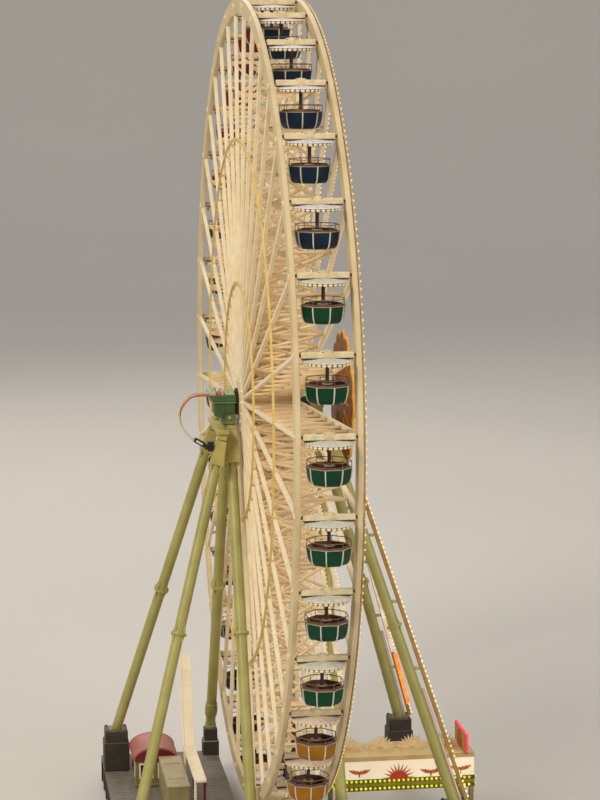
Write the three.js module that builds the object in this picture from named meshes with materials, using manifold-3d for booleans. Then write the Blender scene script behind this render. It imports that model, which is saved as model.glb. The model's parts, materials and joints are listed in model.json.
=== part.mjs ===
// Fairground ferris wheel, a table-top model with 36 level-hanging cabins.
// Millimetres, +Z up, ground at z = 0. The wheel turns about an axis along Y.
// The motor side of the wheel faces +Y, and the lit show side faces -Y.
// Heights marked "from the axle" are negative below it, and y counts from the wheel's mid plane.
import * as THREE from 'three';
import { mergeVertices } from 'three/addons/utils/BufferGeometryUtils.js';
import Module from 'manifold-3d';

const wasm = await Module();
wasm.setup();

// Driving dimensions
const FIT_GAP = 0.3;               // clearance between solids that touch on the real model
const OVERLAP = 1;                 // how far the pieces of one solid run into each other
const HUB_HEIGHT = 285;
const CABIN_COUNT = 36;
const PIVOT_RADIUS = 250;          // circle of the cabin bars
const FIRST_CABIN_ANGLE = 4.5;     // degrees above -X
const ENTRANCE_REACH = 137;        // front edge of the front deck, from the wheel's mid plane

// The wheel: two rims, spokes in pairs tied by rungs, hub and sunburst
const RIM = { outer: 252, inner: 242, front: 15.4, back: 18.3, steps: 36 };
const SPOKE = { width: 2.4, depth: 2.4, root: 16 };
const RUNG = { size: 1.6, radii: [80, 150, 218] };
const HUB_RING = { inner: 9.3, outer: 18, steps: 6 };
const HOOP = { radii: [75, 165], width: 1.4, depth: 1, steps: 9 };
const HUB = { radius: 9, halfLength: 19, axleRadius: 2.5, axleBack: 34, axleFront: 47.5 };
const BORE_RADIUS = 2.9;
const SUN = { radius: 44.5, notch: 40, rays: 16, thickness: 2.2, bossRadius: 16, bossDepth: 3 };

// One cabin, with heights from its pivot
const BAR = { radius: 1.65, halfLength: 14.4, pinRadius: 0.7 };
const CREST = { width: 5, depth: 2.4, top: 3 };
const CANOPY = { radius: 14.25, apex: -1.4, edgeTop: -2.7, edgeBottom: -4.9, underside: -3.4, sides: 10 };
const POLE_RADIUS = 1.25;
const TUB = {
  rim: 12.4, belly: 11.9, foot: 9.5, wall: 0.9, top: -16, middle: -21, bottom: -25.5, floor: 1, sides: 8,
};
const COLOUR_GROUP = { size: 6, first: 3 };

// Legs fall from the heads along straight lines. At a drop of h below the axle a leg's centre
// lies at x = x0 + dx * h and y = y0 + dy * h, with x mirrored for the far legs. An outrigger's
// foot block stands at its own level above the ground.
const REAR_LEVEL = 18;
const LEG_LINES = {
  rear_main: { x0: 1.25, dx: 0.467, y0: 25, dy: 0, foot: 248 },
  rear_outrigger: { x0: 16.75, dx: 0.318, y0: 26.25, dy: 0.275, foot: 240, level: REAR_LEVEL + FIT_GAP },
  front_main: { x0: 1.25, dx: 0.467, y0: -30.5, dy: 0, foot: 248 },
  front_outrigger: { x0: 16.75, dx: 0.318, y0: -30.5, dy: -0.306, foot: 240, level: 0 },
};
const LEG = { radius: 3.4, sides: 8, top: 17.3, socketEnd: 37, socketTop: 3.9, socketFoot: 4.7 };
const TRIM = 6;                    // a socket starts this far above the leg's flat top, and is cut there
const COLLAR = { drop: 134.5, radius: 4.6, length: 5 };
const ANKLE = { rise: 15, radius: 4.8, length: 11 };
const LIGHT_RAIL = {
  offset: 9, width: 3, depth: 1.6, top: 60, bottom: 238, brackets: [85, 150, 215], bracketRadius: 0.9,
};

// Heads on the legs, bearing and gearbox, with heights from the axle. A head has one arm over
// the main legs and a longer one over the outriggers.
const HEAD = { top: -14.2, bottom: -17, mainHalfX: 13.5, outerHalfX: 26.3 };
const HEAD_ARMS = {
  rear: { main: [20.9, 29.1], outer: [27, 35] },
  front: { main: [-34.6, -26.4], outer: [-39.6, -31.6] },
};
const BEARING = { halfX: 7, y: [-34.6, -26.4], top: 7 };
const GEARBOX = { halfX: 9, y: [20.6, 36.2], z: [-5, 8.2] };
const CHIN = { halfX: 7, y: [28, 35], bottom: -8.5 };
const NECK = { halfX: 6, y: [20.9, 29] };
const LEAD = { radius: 0.8, sides: 8, steps: 16 };
const LEAD_ROUTE = [
  [-4, 36.5, 4], [-5, 42, 5.6], [-8, 50.5, 4.4], [-12, 56.8, -3.5], [-16, 56, -12.5], [-20, 51.8, -18.6],
  [-22, 48.6, -21],
];
const PLUG = { from: [-22.5, 49.2, -20.4], to: [-22.5, 39.8, -26.2], width: 5, depth: 3.2 };

// The base and what stands on it
const BEAM = { width: 8, height: 7 };
const FRONT_DECK = { x: [-30, 30], y: [-ENTRANCE_REACH, -20], top: 5 };
const REAR_DECK = { x: [-123, 123], y: [20, 100.75], top: REAR_LEVEL };
const MAIN_BLOCK = { width: 9, tierWidth: 11, tierHeight: 28 };
const OUTRIGGER_BLOCK = { width: 17 };
const PORTAL = { x: [-17, 17], y: [-133, -42], top: 52, bottom: 30, post: 3 };
const PORTAL_CREST = { radius: 9.5, thickness: 1.6, sides: 12, places: [-116, -94.8, -73.6, -52.4] };
const GABLE = { y: [-129, -127.2], eaves: 63.5, peak: 68.5 };
const BOOTH = {
  x: [48, 79], y: [55.6, 82.6], wallTop: 36.7, roofRadius: 15.2, rise: 9.2, overhang: 2, roofSides: 20,
};
const STORE = { x: [-20, 44], y: [53, 67.3], top: 40 };
const PANEL = {
  y: [44.2, 51.7], x: [-38, 38], height: 48.3, riseX: 62, riseTop: 104, thickness: 1.6, lap: 0.5,
  post: 1.6, postInset: 4,
};
const EVERYWHERE = [-400, 400];

// Colours of the real plastics and paint
function plastic(color, roughness) {
  return new THREE.MeshStandardMaterial({ color, roughness });
}

const cream = plastic(0xe9dcb4, 0.55);
const olive = plastic(0x969a58, 0.5);
const darkGreen = plastic(0x3f5a3a, 0.55);
const blackPlastic = plastic(0x1c1c1e, 0.5);
const darkGrey = plastic(0x35322c, 0.7);
const redPlastic = plastic(0xa8463c, 0.5);
const sunYellow = plastic(0xe6a52a, 0.45);
const tubBlue = plastic(0x23314a, 0.45);
const tubRed = plastic(0x6d2430, 0.45);
const tubGreen = plastic(0x0c5138, 0.45);
const tubOchre = plastic(0xa87a24, 0.45);
const tubGroups = [tubBlue, tubRed, tubGreen, tubBlue, tubOchre, tubGreen];

const radians = THREE.MathUtils.degToRad;
const degrees = THREE.MathUtils.radToDeg;
const vec = (x, y, z) => new THREE.Vector3(x, y, z);
const centred = (middle, size) => [middle - size / 2, middle + size / 2];

// Closed geometry to a solid, with shared corners merged
function solidOf(geometry) {
  const bare = geometry.clone();
  bare.deleteAttribute('normal');
  bare.deleteAttribute('uv');
  const merged = mergeVertices(bare, 1e-4);
  const mesh = new wasm.Mesh({
    numProp: 3,
    vertProperties: new Float32Array(merged.attributes.position.array),
    triVerts: new Uint32Array(merged.index.array),
  });
  return new wasm.Manifold(mesh);
}

function geometryOf(solid) {
  const { vertProperties, triVerts } = solid.getMesh();
  const geometry = new THREE.BufferGeometry();
  geometry.setAttribute('position', new THREE.Float32BufferAttribute(vertProperties, 3));
  geometry.setIndex(Array.from(triVerts));
  geometry.computeVertexNormals();
  return geometry;
}

function fuse(geometries) {
  return geometries.map(solidOf).reduce((sum, solid) => sum.add(solid));
}

function named(name, shape, material) {
  const geometry = shape.isBufferGeometry ? shape : geometryOf(shape);
  const mesh = new THREE.Mesh(geometry, material);
  mesh.name = name;
  return mesh;
}

// Box from its low and high limits on each axis
function block([x0, x1], [y0, y1], [z0, z1]) {
  return new THREE.BoxGeometry(x1 - x0, y1 - y0, z1 - z0)
    .translate((x0 + x1) / 2, (y0 + y1) / 2, (z0 + z1) / 2);
}

// Stand a geometry made along +Y on the line between two points, with its X towards `side`
function along(geometry, from, to, side) {
  const y = to.clone().sub(from).normalize();
  const x = side.clone().addScaledVector(y, -side.dot(y)).normalize();
  const z = new THREE.Vector3().crossVectors(x, y);
  const middle = from.clone().add(to).multiplyScalar(0.5);
  return geometry.applyMatrix4(new THREE.Matrix4().makeBasis(x, y, z).setPosition(middle));
}

function beam(from, to, width, depth, side) {
  return along(new THREE.BoxGeometry(width, from.distanceTo(to), depth), from, to, side);
}

function rod(from, to, radius, sides, endRadius = radius) {
  const cylinder = new THREE.CylinderGeometry(endRadius, radius, from.distanceTo(to), sides);
  return along(cylinder, from, to, vec(0.31, 0.95, 0.02));
}

// Square bar that widens from one half-width to another between two points
function taper(from, to, halfFrom, halfTo, side) {
  const corner = Math.SQRT2;
  const bar = new THREE.CylinderGeometry(halfTo * corner, halfFrom * corner, from.distanceTo(to), 4, 1);
  return along(bar.rotateY(Math.PI / 4), from, to, side);
}

// Point of the wheel at a radius, an angle in degrees above -X, and a place along the axle
function onWheel(radius, angle, y) {
  const a = radians(angle);
  return vec(-radius * Math.cos(a), y, radius * Math.sin(a));
}

// Flat ring, or part of one, in the wheel's plane between y0 and y1
function ringPlate(inner, outer, [y0, y1], steps, fromAngle = 0, toAngle = 360) {
  const whole = toAngle - fromAngle === 360;
  const shape = new THREE.Shape();
  const start = radians(180 - toAngle);
  const end = radians(180 - fromAngle);
  shape.absarc(0, 0, outer, start, end, false);
  if (whole) {
    const hole = new THREE.Path();
    hole.absarc(0, 0, inner, 0, 2 * Math.PI, true);
    shape.holes.push(hole);
  } else {
    shape.absarc(0, 0, inner, end, start, true);
  }
  const options = { depth: y1 - y0, bevelEnabled: false, curveSegments: steps };
  return new THREE.ExtrudeGeometry(shape, options).rotateX(Math.PI / 2).translate(0, y1, 0);
}

// Closed profile of [radius, z] points turned about the vertical axis
function turned(points, sides, twist = 0) {
  const profile = points.map(([r, z]) => new THREE.Vector2(r, z));
  return new THREE.LatheGeometry(profile, sides).rotateX(Math.PI / 2).rotateZ(radians(twist));
}

const cabinStep = 360 / CABIN_COUNT;
const cabinAngles = Array.from({ length: CABIN_COUNT }, (_, i) => FIRST_CABIN_ANGLE + cabinStep * i);

// One cabin about its pivot: bar with end pins and crest, canopy, pole and open eight-sided tub
function cabinSolid() {
  const pinEnd = RIM.front - FIT_GAP;
  const bar = rod(vec(0, -BAR.halfLength, 0), vec(0, BAR.halfLength, 0), BAR.radius, 6);
  const pins = rod(vec(0, -pinEnd, 0), vec(0, pinEnd, 0), BAR.pinRadius, 4);
  const crest = block(centred(0, CREST.depth), centred(0, CREST.width), [0, CREST.top]);
  const canopy = turned([
    [0, CANOPY.underside],
    [CANOPY.radius, CANOPY.edgeBottom],
    [CANOPY.radius, CANOPY.edgeTop],
    [0, CANOPY.apex],
  ], CANOPY.sides);
  const floorTop = TUB.bottom + TUB.floor;
  const poleTop = vec(0, 0, CANOPY.underside + OVERLAP);
  const pole = rod(poleTop, vec(0, 0, floorTop - TUB.floor / 2), POLE_RADIUS, 4);
  const tub = turned([
    [0, TUB.bottom],
    [TUB.foot, TUB.bottom],
    [TUB.belly, TUB.middle],
    [TUB.rim, TUB.top],
    [TUB.rim - TUB.wall, TUB.top],
    [TUB.foot - TUB.wall, floorTop],
    [0, floorTop],
  ], TUB.sides, 180 / TUB.sides);
  return fuse([bar, pins, crest, canopy, pole, tub]);
}

// The cabins change colour in groups
function tubMaterial(i) {
  const counted = (i - COLOUR_GROUP.first + CABIN_COUNT) % CABIN_COUNT;
  return tubGroups[Math.floor(counted / COLOUR_GROUP.size)];
}

function cabins() {
  const shape = geometryOf(cabinSolid());
  return cabinAngles.map((angle, i) => {
    const number = String(i + 1).padStart(2, '0');
    const cabin = named(`cabin_${number}`, shape.clone(), tubMaterial(i));
    cabin.position.copy(onWheel(PIVOT_RADIUS, angle, 0));
    return cabin;
  });
}

const WHEEL_SIDES = [[-RIM.back, -RIM.front], [RIM.front, RIM.back]];

function rims() {
  const [front, back] = WHEEL_SIDES.map((y) => ringPlate(RIM.inner, RIM.outer, y, RIM.steps));
  return [named('rim_back', solidOf(back), cream), named('rim_front', solidOf(front), cream)];
}

// Two spokes at one angle, tied by rungs across the wheel
function truss(angle) {
  const tangent = onWheel(1, angle + 90, 0);
  const spokeY = (RIM.front + RIM.back) / 2;
  const tip = RIM.inner - FIT_GAP;
  const spokes = [-spokeY, spokeY].map((y) => beam(
    onWheel(SPOKE.root, angle, y), onWheel(tip, angle, y), SPOKE.width, SPOKE.depth, tangent));
  const rungs = RUNG.radii.map((radius) => beam(
    onWheel(radius, angle, -spokeY), onWheel(radius, angle, spokeY), RUNG.size, RUNG.size, tangent));
  return [...spokes, ...rungs];
}

// Half of the trusses with their half of the hub rings and of the hoops on the back face
function spokeHalf(name, angles) {
  const arc = (inner, outer, y, steps) => {
    const slit = degrees(FIT_GAP / 2 / inner);
    const first = angles[0] - cabinStep / 2 + slit;
    const last = angles[angles.length - 1] + cabinStep / 2 - slit;
    return ringPlate(inner, outer, y, steps, first, last);
  };
  const spokeBack = (RIM.front + RIM.back + SPOKE.depth) / 2;
  const hoopY = [spokeBack - FIT_GAP, spokeBack + HOOP.depth];
  const hubRings = WHEEL_SIDES.map((y) => arc(HUB_RING.inner, HUB_RING.outer, y, HUB_RING.steps));
  const hoops = HOOP.radii.map((radius) => arc(...centred(radius, HOOP.width), hoopY, HOOP.steps));
  return named(name, fuse([...hubRings, ...hoops, ...angles.flatMap(truss)]), cream);
}

function hub() {
  const drum = rod(vec(0, -HUB.halfLength, 0), vec(0, HUB.halfLength, 0), HUB.radius, 20);
  const axle = rod(vec(0, -HUB.axleFront, 0), vec(0, HUB.axleBack, 0), HUB.axleRadius, 12);
  return named('hub_drum', fuse([drum, axle]), cream);
}

// Pointed sunburst plate on the show end of the axle
function sun() {
  const corners = Array.from({ length: 2 * SUN.rays }, (_, i) => {
    const a = (Math.PI * i) / SUN.rays;
    const r = i % 2 === 0 ? SUN.radius : SUN.notch;
    return new THREE.Vector2(r * Math.cos(a), r * Math.sin(a));
  });
  const backY = -HUB.axleFront - FIT_GAP;
  const options = { depth: SUN.thickness, bevelEnabled: false };
  const plate = new THREE.ExtrudeGeometry(new THREE.Shape(corners), options);
  plate.rotateX(Math.PI / 2).translate(0, backY, 0);
  const bossRoot = vec(0, backY - SUN.thickness / 2, 0);
  const bossTip = vec(0, backY - SUN.thickness - SUN.bossDepth, 0);
  const boss = rod(bossRoot, bossTip, SUN.bossRadius, 16, SUN.bossRadius / 2);
  return named('sun_ornament', fuse([plate, boss]), sunYellow);
}

// Point on a leg's centre line at a drop below the axle
function legPoint(line, sign, drop) {
  return vec(sign * (line.x0 + line.dx * drop), line.y0 + line.dy * drop, -drop);
}

function sleeve(line, sign, drop, { length, radius }) {
  const ends = [drop - length / 2, drop + length / 2].map((end) => legPoint(line, sign, end));
  return rod(...ends, radius, LEG.sides);
}

// Round tube in a tapered square socket, with a collar half way
function legPieces(line, sign) {
  const at = (drop) => legPoint(line, sign, drop);
  const tube = rod(at(LEG.socketEnd - 4 * OVERLAP), at(line.foot), LEG.radius, LEG.sides);
  const socket = taper(at(LEG.top - TRIM), at(LEG.socketEnd), LEG.socketTop, LEG.socketFoot, vec(1, 0, 0));
  return [tube, socket, sleeve(line, sign, COLLAR.drop, COLLAR)];
}

// Rail of lights that stands off the outer side of a front outrigger on small brackets
function lightRail(line, sign) {
  const shifted = (drop) => legPoint(line, sign, drop).add(vec(0, -LIGHT_RAIL.offset, 0));
  const ends = [shifted(LIGHT_RAIL.top), shifted(LIGHT_RAIL.bottom)];
  const rail = beam(...ends, LIGHT_RAIL.width, LIGHT_RAIL.depth, vec(1, 0, 0));
  const brackets = LIGHT_RAIL.brackets.map((drop) => rod(
    legPoint(line, sign, drop), shifted(drop), LIGHT_RAIL.bracketRadius, 6));
  return [rail, ...brackets];
}

// An outrigger stands in a foot block of its own
function footBlock(line, sign) {
  const { x, y } = legPoint(line, sign, line.foot);
  const { width } = OUTRIGGER_BLOCK;
  const z = [line.level - HUB_HEIGHT, OVERLAP - line.foot];
  return solidOf(block(centred(x, width), centred(y, width), z));
}

// A main leg has a thick ankle and stands on the base's block
function leg(lineName, sign) {
  const line = LEG_LINES[lineName];
  const isMain = lineName.endsWith('main');
  const ankle = isMain ? [sleeve(line, sign, line.foot - ANKLE.rise, ANKLE)] : [];
  const lit = lineName === 'front_outrigger' ? lightRail(line, sign) : [];
  const whole = fuse([...legPieces(line, sign), ...ankle, ...lit]);
  const keep = solidOf(block(EVERYWHERE, EVERYWHERE, [-line.foot, -LEG.top]));
  const trimmed = whole.intersect(keep);
  const standing = isMain ? trimmed : trimmed.add(footBlock(line, sign));
  return named(`leg_${lineName}_${sign < 0 ? 'near' : 'far'}`, standing, olive);
}

function legs() {
  return Object.keys(LEG_LINES).flatMap((lineName) => [leg(lineName, -1), leg(lineName, 1)]);
}

function headArms({ main, outer }) {
  const z = [HEAD.bottom, HEAD.top];
  return [block(centred(0, 2 * HEAD.mainHalfX), main, z), block(centred(0, 2 * HEAD.outerHalfX), outer, z)];
}

function headRear() {
  return named('head_rear', fuse(headArms(HEAD_ARMS.rear)), olive);
}

function headFront() {
  const bearing = block(centred(0, 2 * BEARING.halfX), BEARING.y, [HEAD.top - OVERLAP, BEARING.top]);
  const bore = solidOf(rod(vec(0, -HUB.axleFront, 0), vec(0, 0, 0), BORE_RADIUS, 12));
  return named('head_front', fuse([...headArms(HEAD_ARMS.front), bearing]).subtract(bore), olive);
}

// Gearbox with a chin, on a neck that stands on the rear head
function gearbox() {
  const box = block(centred(0, 2 * GEARBOX.halfX), GEARBOX.y, GEARBOX.z);
  const root = GEARBOX.z[0] + OVERLAP;
  const chin = block(centred(0, 2 * CHIN.halfX), CHIN.y, [CHIN.bottom, root]);
  const neck = block(centred(0, 2 * NECK.halfX), NECK.y, [HEAD.top + FIT_GAP, root]);
  const bore = solidOf(rod(vec(0, 0, 0), vec(0, HUB.axleBack + 1, 0), BORE_RADIUS, 12));
  return named('motor_gearbox', fuse([box, chin, neck]).subtract(bore), darkGreen);
}

// Leads from the gearbox out in a loop and back into the plug behind the near outrigger's socket
function motorLeads() {
  const route = new THREE.CatmullRomCurve3(LEAD_ROUTE.map((point) => vec(...point)));
  const section = new THREE.Shape().absarc(0, 0, LEAD.radius, 0, 2 * Math.PI, false);
  const options = { steps: LEAD.steps, extrudePath: route, curveSegments: LEAD.sides / 2 };
  const tube = new THREE.ExtrudeGeometry(section, options);
  const plug = beam(vec(...PLUG.from), vec(...PLUG.to), PLUG.width, PLUG.depth, vec(1, 0, 0));
  return named('motor_leads', fuse([tube, plug]), blackPlastic);
}

const footOf = (line, sign) => legPoint(line, sign, line.foot).setZ(0);

// Deck and its beams, joined to the stepped foot blocks of a pair of main legs
function base(name, line, deck, beams) {
  const { width, tierWidth, tierHeight } = MAIN_BLOCK;
  const top = HUB_HEIGHT - line.foot - FIT_GAP;
  const blocks = [footOf(line, -1), footOf(line, 1)].flatMap(({ x, y }) => [
    block(centred(x, tierWidth), centred(y, tierWidth), [0, tierHeight]),
    block(centred(x, width), centred(y, width), [tierHeight - OVERLAP, top]),
  ]);
  return named(name, fuse([block(deck.x, deck.y, [0, deck.top]), ...beams, ...blocks]), darkGrey);
}

// Beam on the ground that crosses under a pair of main legs
function crossBeam(line) {
  const { x, y } = footOf(line, 1);
  return block(centred(0, 2 * x + MAIN_BLOCK.tierWidth), centred(y, BEAM.width), [0, BEAM.height]);
}

// Board that stands across the portal near its front end, with a low peak in the middle
function gable() {
  const foot = PORTAL.top - OVERLAP;
  const [left, right] = PORTAL.x;
  const corners = [[left, foot], [right, foot], [right, GABLE.eaves], [0, GABLE.peak], [left, GABLE.eaves]];
  const shape = new THREE.Shape(corners.map(([x, z]) => new THREE.Vector2(x, z)));
  const [front, back] = GABLE.y;
  const board = new THREE.ExtrudeGeometry(shape, { depth: back - front, bevelEnabled: false });
  return board.rotateX(Math.PI / 2).translate(0, back, 0);
}

// Entrance portal: roof with deep fascias on posts, sunburst crests along its ridge, and a gable
function portal() {
  const roof = block(PORTAL.x, PORTAL.y, [PORTAL.bottom, PORTAL.top]);
  const postZ = [FRONT_DECK.top + FIT_GAP, PORTAL.bottom + OVERLAP];
  const corners = ([low, high]) => [[low, low + PORTAL.post], [high - PORTAL.post, high]];
  const posts = corners(PORTAL.x).flatMap((x) => corners(PORTAL.y).map((y) => block(x, y, postZ)));
  const { radius, thickness, sides, places } = PORTAL_CREST;
  const disc = new THREE.CylinderGeometry(radius, radius, thickness, sides).rotateZ(Math.PI / 2);
  const crests = places.map((y) => disc.clone().translate(0, y, PORTAL.top));
  return named('entrance_portal', fuse([roof, ...posts, ...crests, gable()]), cream);
}

// Ticket booth with a flat barrel roof
function booth() {
  const middle = (BOOTH.y[0] + BOOTH.y[1]) / 2;
  const ends = [BOOTH.x[0] - BOOTH.overhang, BOOTH.x[1] + BOOTH.overhang];
  const [from, to] = ends.map((x) => vec(x, middle, 0));
  const barrel = rod(from, to, BOOTH.roofRadius, BOOTH.roofSides);
  barrel.scale(1, 1, BOOTH.rise / BOOTH.roofRadius).translate(0, 0, BOOTH.wallTop);
  const above = solidOf(block(EVERYWHERE, EVERYWHERE, [BOOTH.wallTop, EVERYWHERE[1]]));
  const wallZ = [REAR_DECK.top + FIT_GAP, BOOTH.wallTop + OVERLAP];
  const walls = solidOf(block(BOOTH.x, BOOTH.y, wallZ));
  return named('ticket_booth', solidOf(barrel).intersect(above).add(walls), redPlastic);
}

function store() {
  return named('store_box', solidOf(block(STORE.x, STORE.y, [REAR_DECK.top + FIT_GAP, STORE.top])), olive);
}

// Folded panel on posts beside the wheel: a level strip, then a rising one
function foldedPanel() {
  const [y0, y1] = PANEL.y;
  const strip = (x0, z0, x1, z1) => beam(
    vec(x0, (y0 + y1) / 2, z0), vec(x1, (y0 + y1) / 2, z1), y1 - y0, PANEL.thickness, vec(0, 1, 0));
  const level = strip(PANEL.x[0], PANEL.height, PANEL.x[1] + PANEL.lap, PANEL.height);
  const rising = strip(PANEL.x[1], PANEL.height - PANEL.lap, PANEL.riseX, PANEL.riseTop);
  const postX = [PANEL.x[0] + PANEL.postInset, PANEL.x[1] - PANEL.postInset];
  const postY = [[y0, y0 + PANEL.post], [y1 - PANEL.post, y1]];
  const postZ = [REAR_DECK.top + FIT_GAP, PANEL.height];
  const posts = postX.flatMap((x) => postY.map((y) => block([x, x + PANEL.post], y, postZ)));
  return named('folded_panel', fuse([level, rising, ...posts]), cream);
}

// The origin lies under the middle of the whole outline, so the wheel stands a little behind it
const rearLine = LEG_LINES.rear_outrigger;
const rearReach = footOf(rearLine, 1).y + OUTRIGGER_BLOCK.width / 2;
const model = new THREE.Group();
model.position.y = (ENTRANCE_REACH - rearReach) / 2;

const atHub = new THREE.Group();
atHub.position.z = HUB_HEIGHT;
atHub.add(...cabins(), ...rims());
atHub.add(spokeHalf('spokes_upper', cabinAngles.slice(0, CABIN_COUNT / 2)));
atHub.add(spokeHalf('spokes_lower', cabinAngles.slice(CABIN_COUNT / 2)));
atHub.add(hub(), sun(), ...legs(), headRear(), headFront(), gearbox(), motorLeads());

model.add(atHub, portal(), booth(), store(), foldedPanel());
model.add(base('base_rear', LEG_LINES.rear_main, REAR_DECK, []));
model.add(base('base_front', LEG_LINES.front_main, FRONT_DECK, [crossBeam(LEG_LINES.front_main)]));

export default model;
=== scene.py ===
"""Looks of a table-top ferris wheel: its pieces, finishes, light and camera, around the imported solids.

Sizes are millimetres. Work on the wheel counts y from the wheel's middle plane and z from the axle, work on
the ground counts z from the ground, and a cabin counts from its own pivot. The near side is at -X, the motor
side at +Y and the lit show side at -Y.
"""

import json
import logging
import math
import random
from dataclasses import dataclass, field, replace
from enum import Enum

import bmesh
import bpy
from mathutils import Matrix, Vector

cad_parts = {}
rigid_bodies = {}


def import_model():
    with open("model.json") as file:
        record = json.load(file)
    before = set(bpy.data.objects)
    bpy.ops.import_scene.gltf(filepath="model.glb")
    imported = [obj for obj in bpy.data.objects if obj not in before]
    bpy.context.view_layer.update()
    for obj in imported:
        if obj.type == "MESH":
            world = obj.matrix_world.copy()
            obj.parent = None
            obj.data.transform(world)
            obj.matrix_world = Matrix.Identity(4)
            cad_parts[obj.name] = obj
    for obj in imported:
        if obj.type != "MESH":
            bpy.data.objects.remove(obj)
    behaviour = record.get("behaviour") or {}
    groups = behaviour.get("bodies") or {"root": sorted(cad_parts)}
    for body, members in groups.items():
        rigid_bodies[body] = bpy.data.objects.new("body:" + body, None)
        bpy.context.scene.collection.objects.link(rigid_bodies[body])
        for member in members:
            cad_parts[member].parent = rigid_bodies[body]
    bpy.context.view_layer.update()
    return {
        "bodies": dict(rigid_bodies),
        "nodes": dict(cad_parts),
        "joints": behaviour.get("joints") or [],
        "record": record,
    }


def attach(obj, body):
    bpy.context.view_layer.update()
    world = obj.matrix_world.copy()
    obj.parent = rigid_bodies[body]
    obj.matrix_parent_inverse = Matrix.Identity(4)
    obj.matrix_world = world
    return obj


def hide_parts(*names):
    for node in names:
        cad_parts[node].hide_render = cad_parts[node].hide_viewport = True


log = logging.getLogger("ferris_wheel")

MM = 0.001
FULL_TURN = 2 * math.pi
X_WAY = Vector((1, 0, 0))
Y_WAY = Vector((0, 1, 0))
UP = Vector((0, 0, 1))
SHARP_EDGE = 35.0
Colour = tuple[float, float, float]
Place = tuple[float, float, float]
Box = tuple[Place, Place]
Span = tuple[float, float]
Profile = list[tuple[float, float]]
Tree = bpy.types.ShaderNodeTree
Socket = bpy.types.NodeSocket


def srgb(red: int, green: int, blue: int) -> Colour:
    """Turn a display colour into the linear one that shaders use.

    Args:
        red: Red from 0 to 255.
        green: Green from 0 to 255.
        blue: Blue from 0 to 255.

    Returns:
        The linear colour.
    """
    def linear(channel: int) -> float:
        """Linear value of one channel."""
        share = channel / 255
        return share / 12.92 if share <= 0.04045 else ((share + 0.055) / 1.055) ** 2.4

    return linear(red), linear(green), linear(blue)


# Pale colour laid on faces that look up: partly settled dust, partly painted light falling on the tops.
DUST_AND_TOP_LIGHT = srgb(214, 204, 184)
DUST_AND_TOP_LIGHT_PATCHES_PER_METRE = 330.0
GRAINS_PER_METRE = 1500.0
LAMP_PATCH = 6.0


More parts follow.
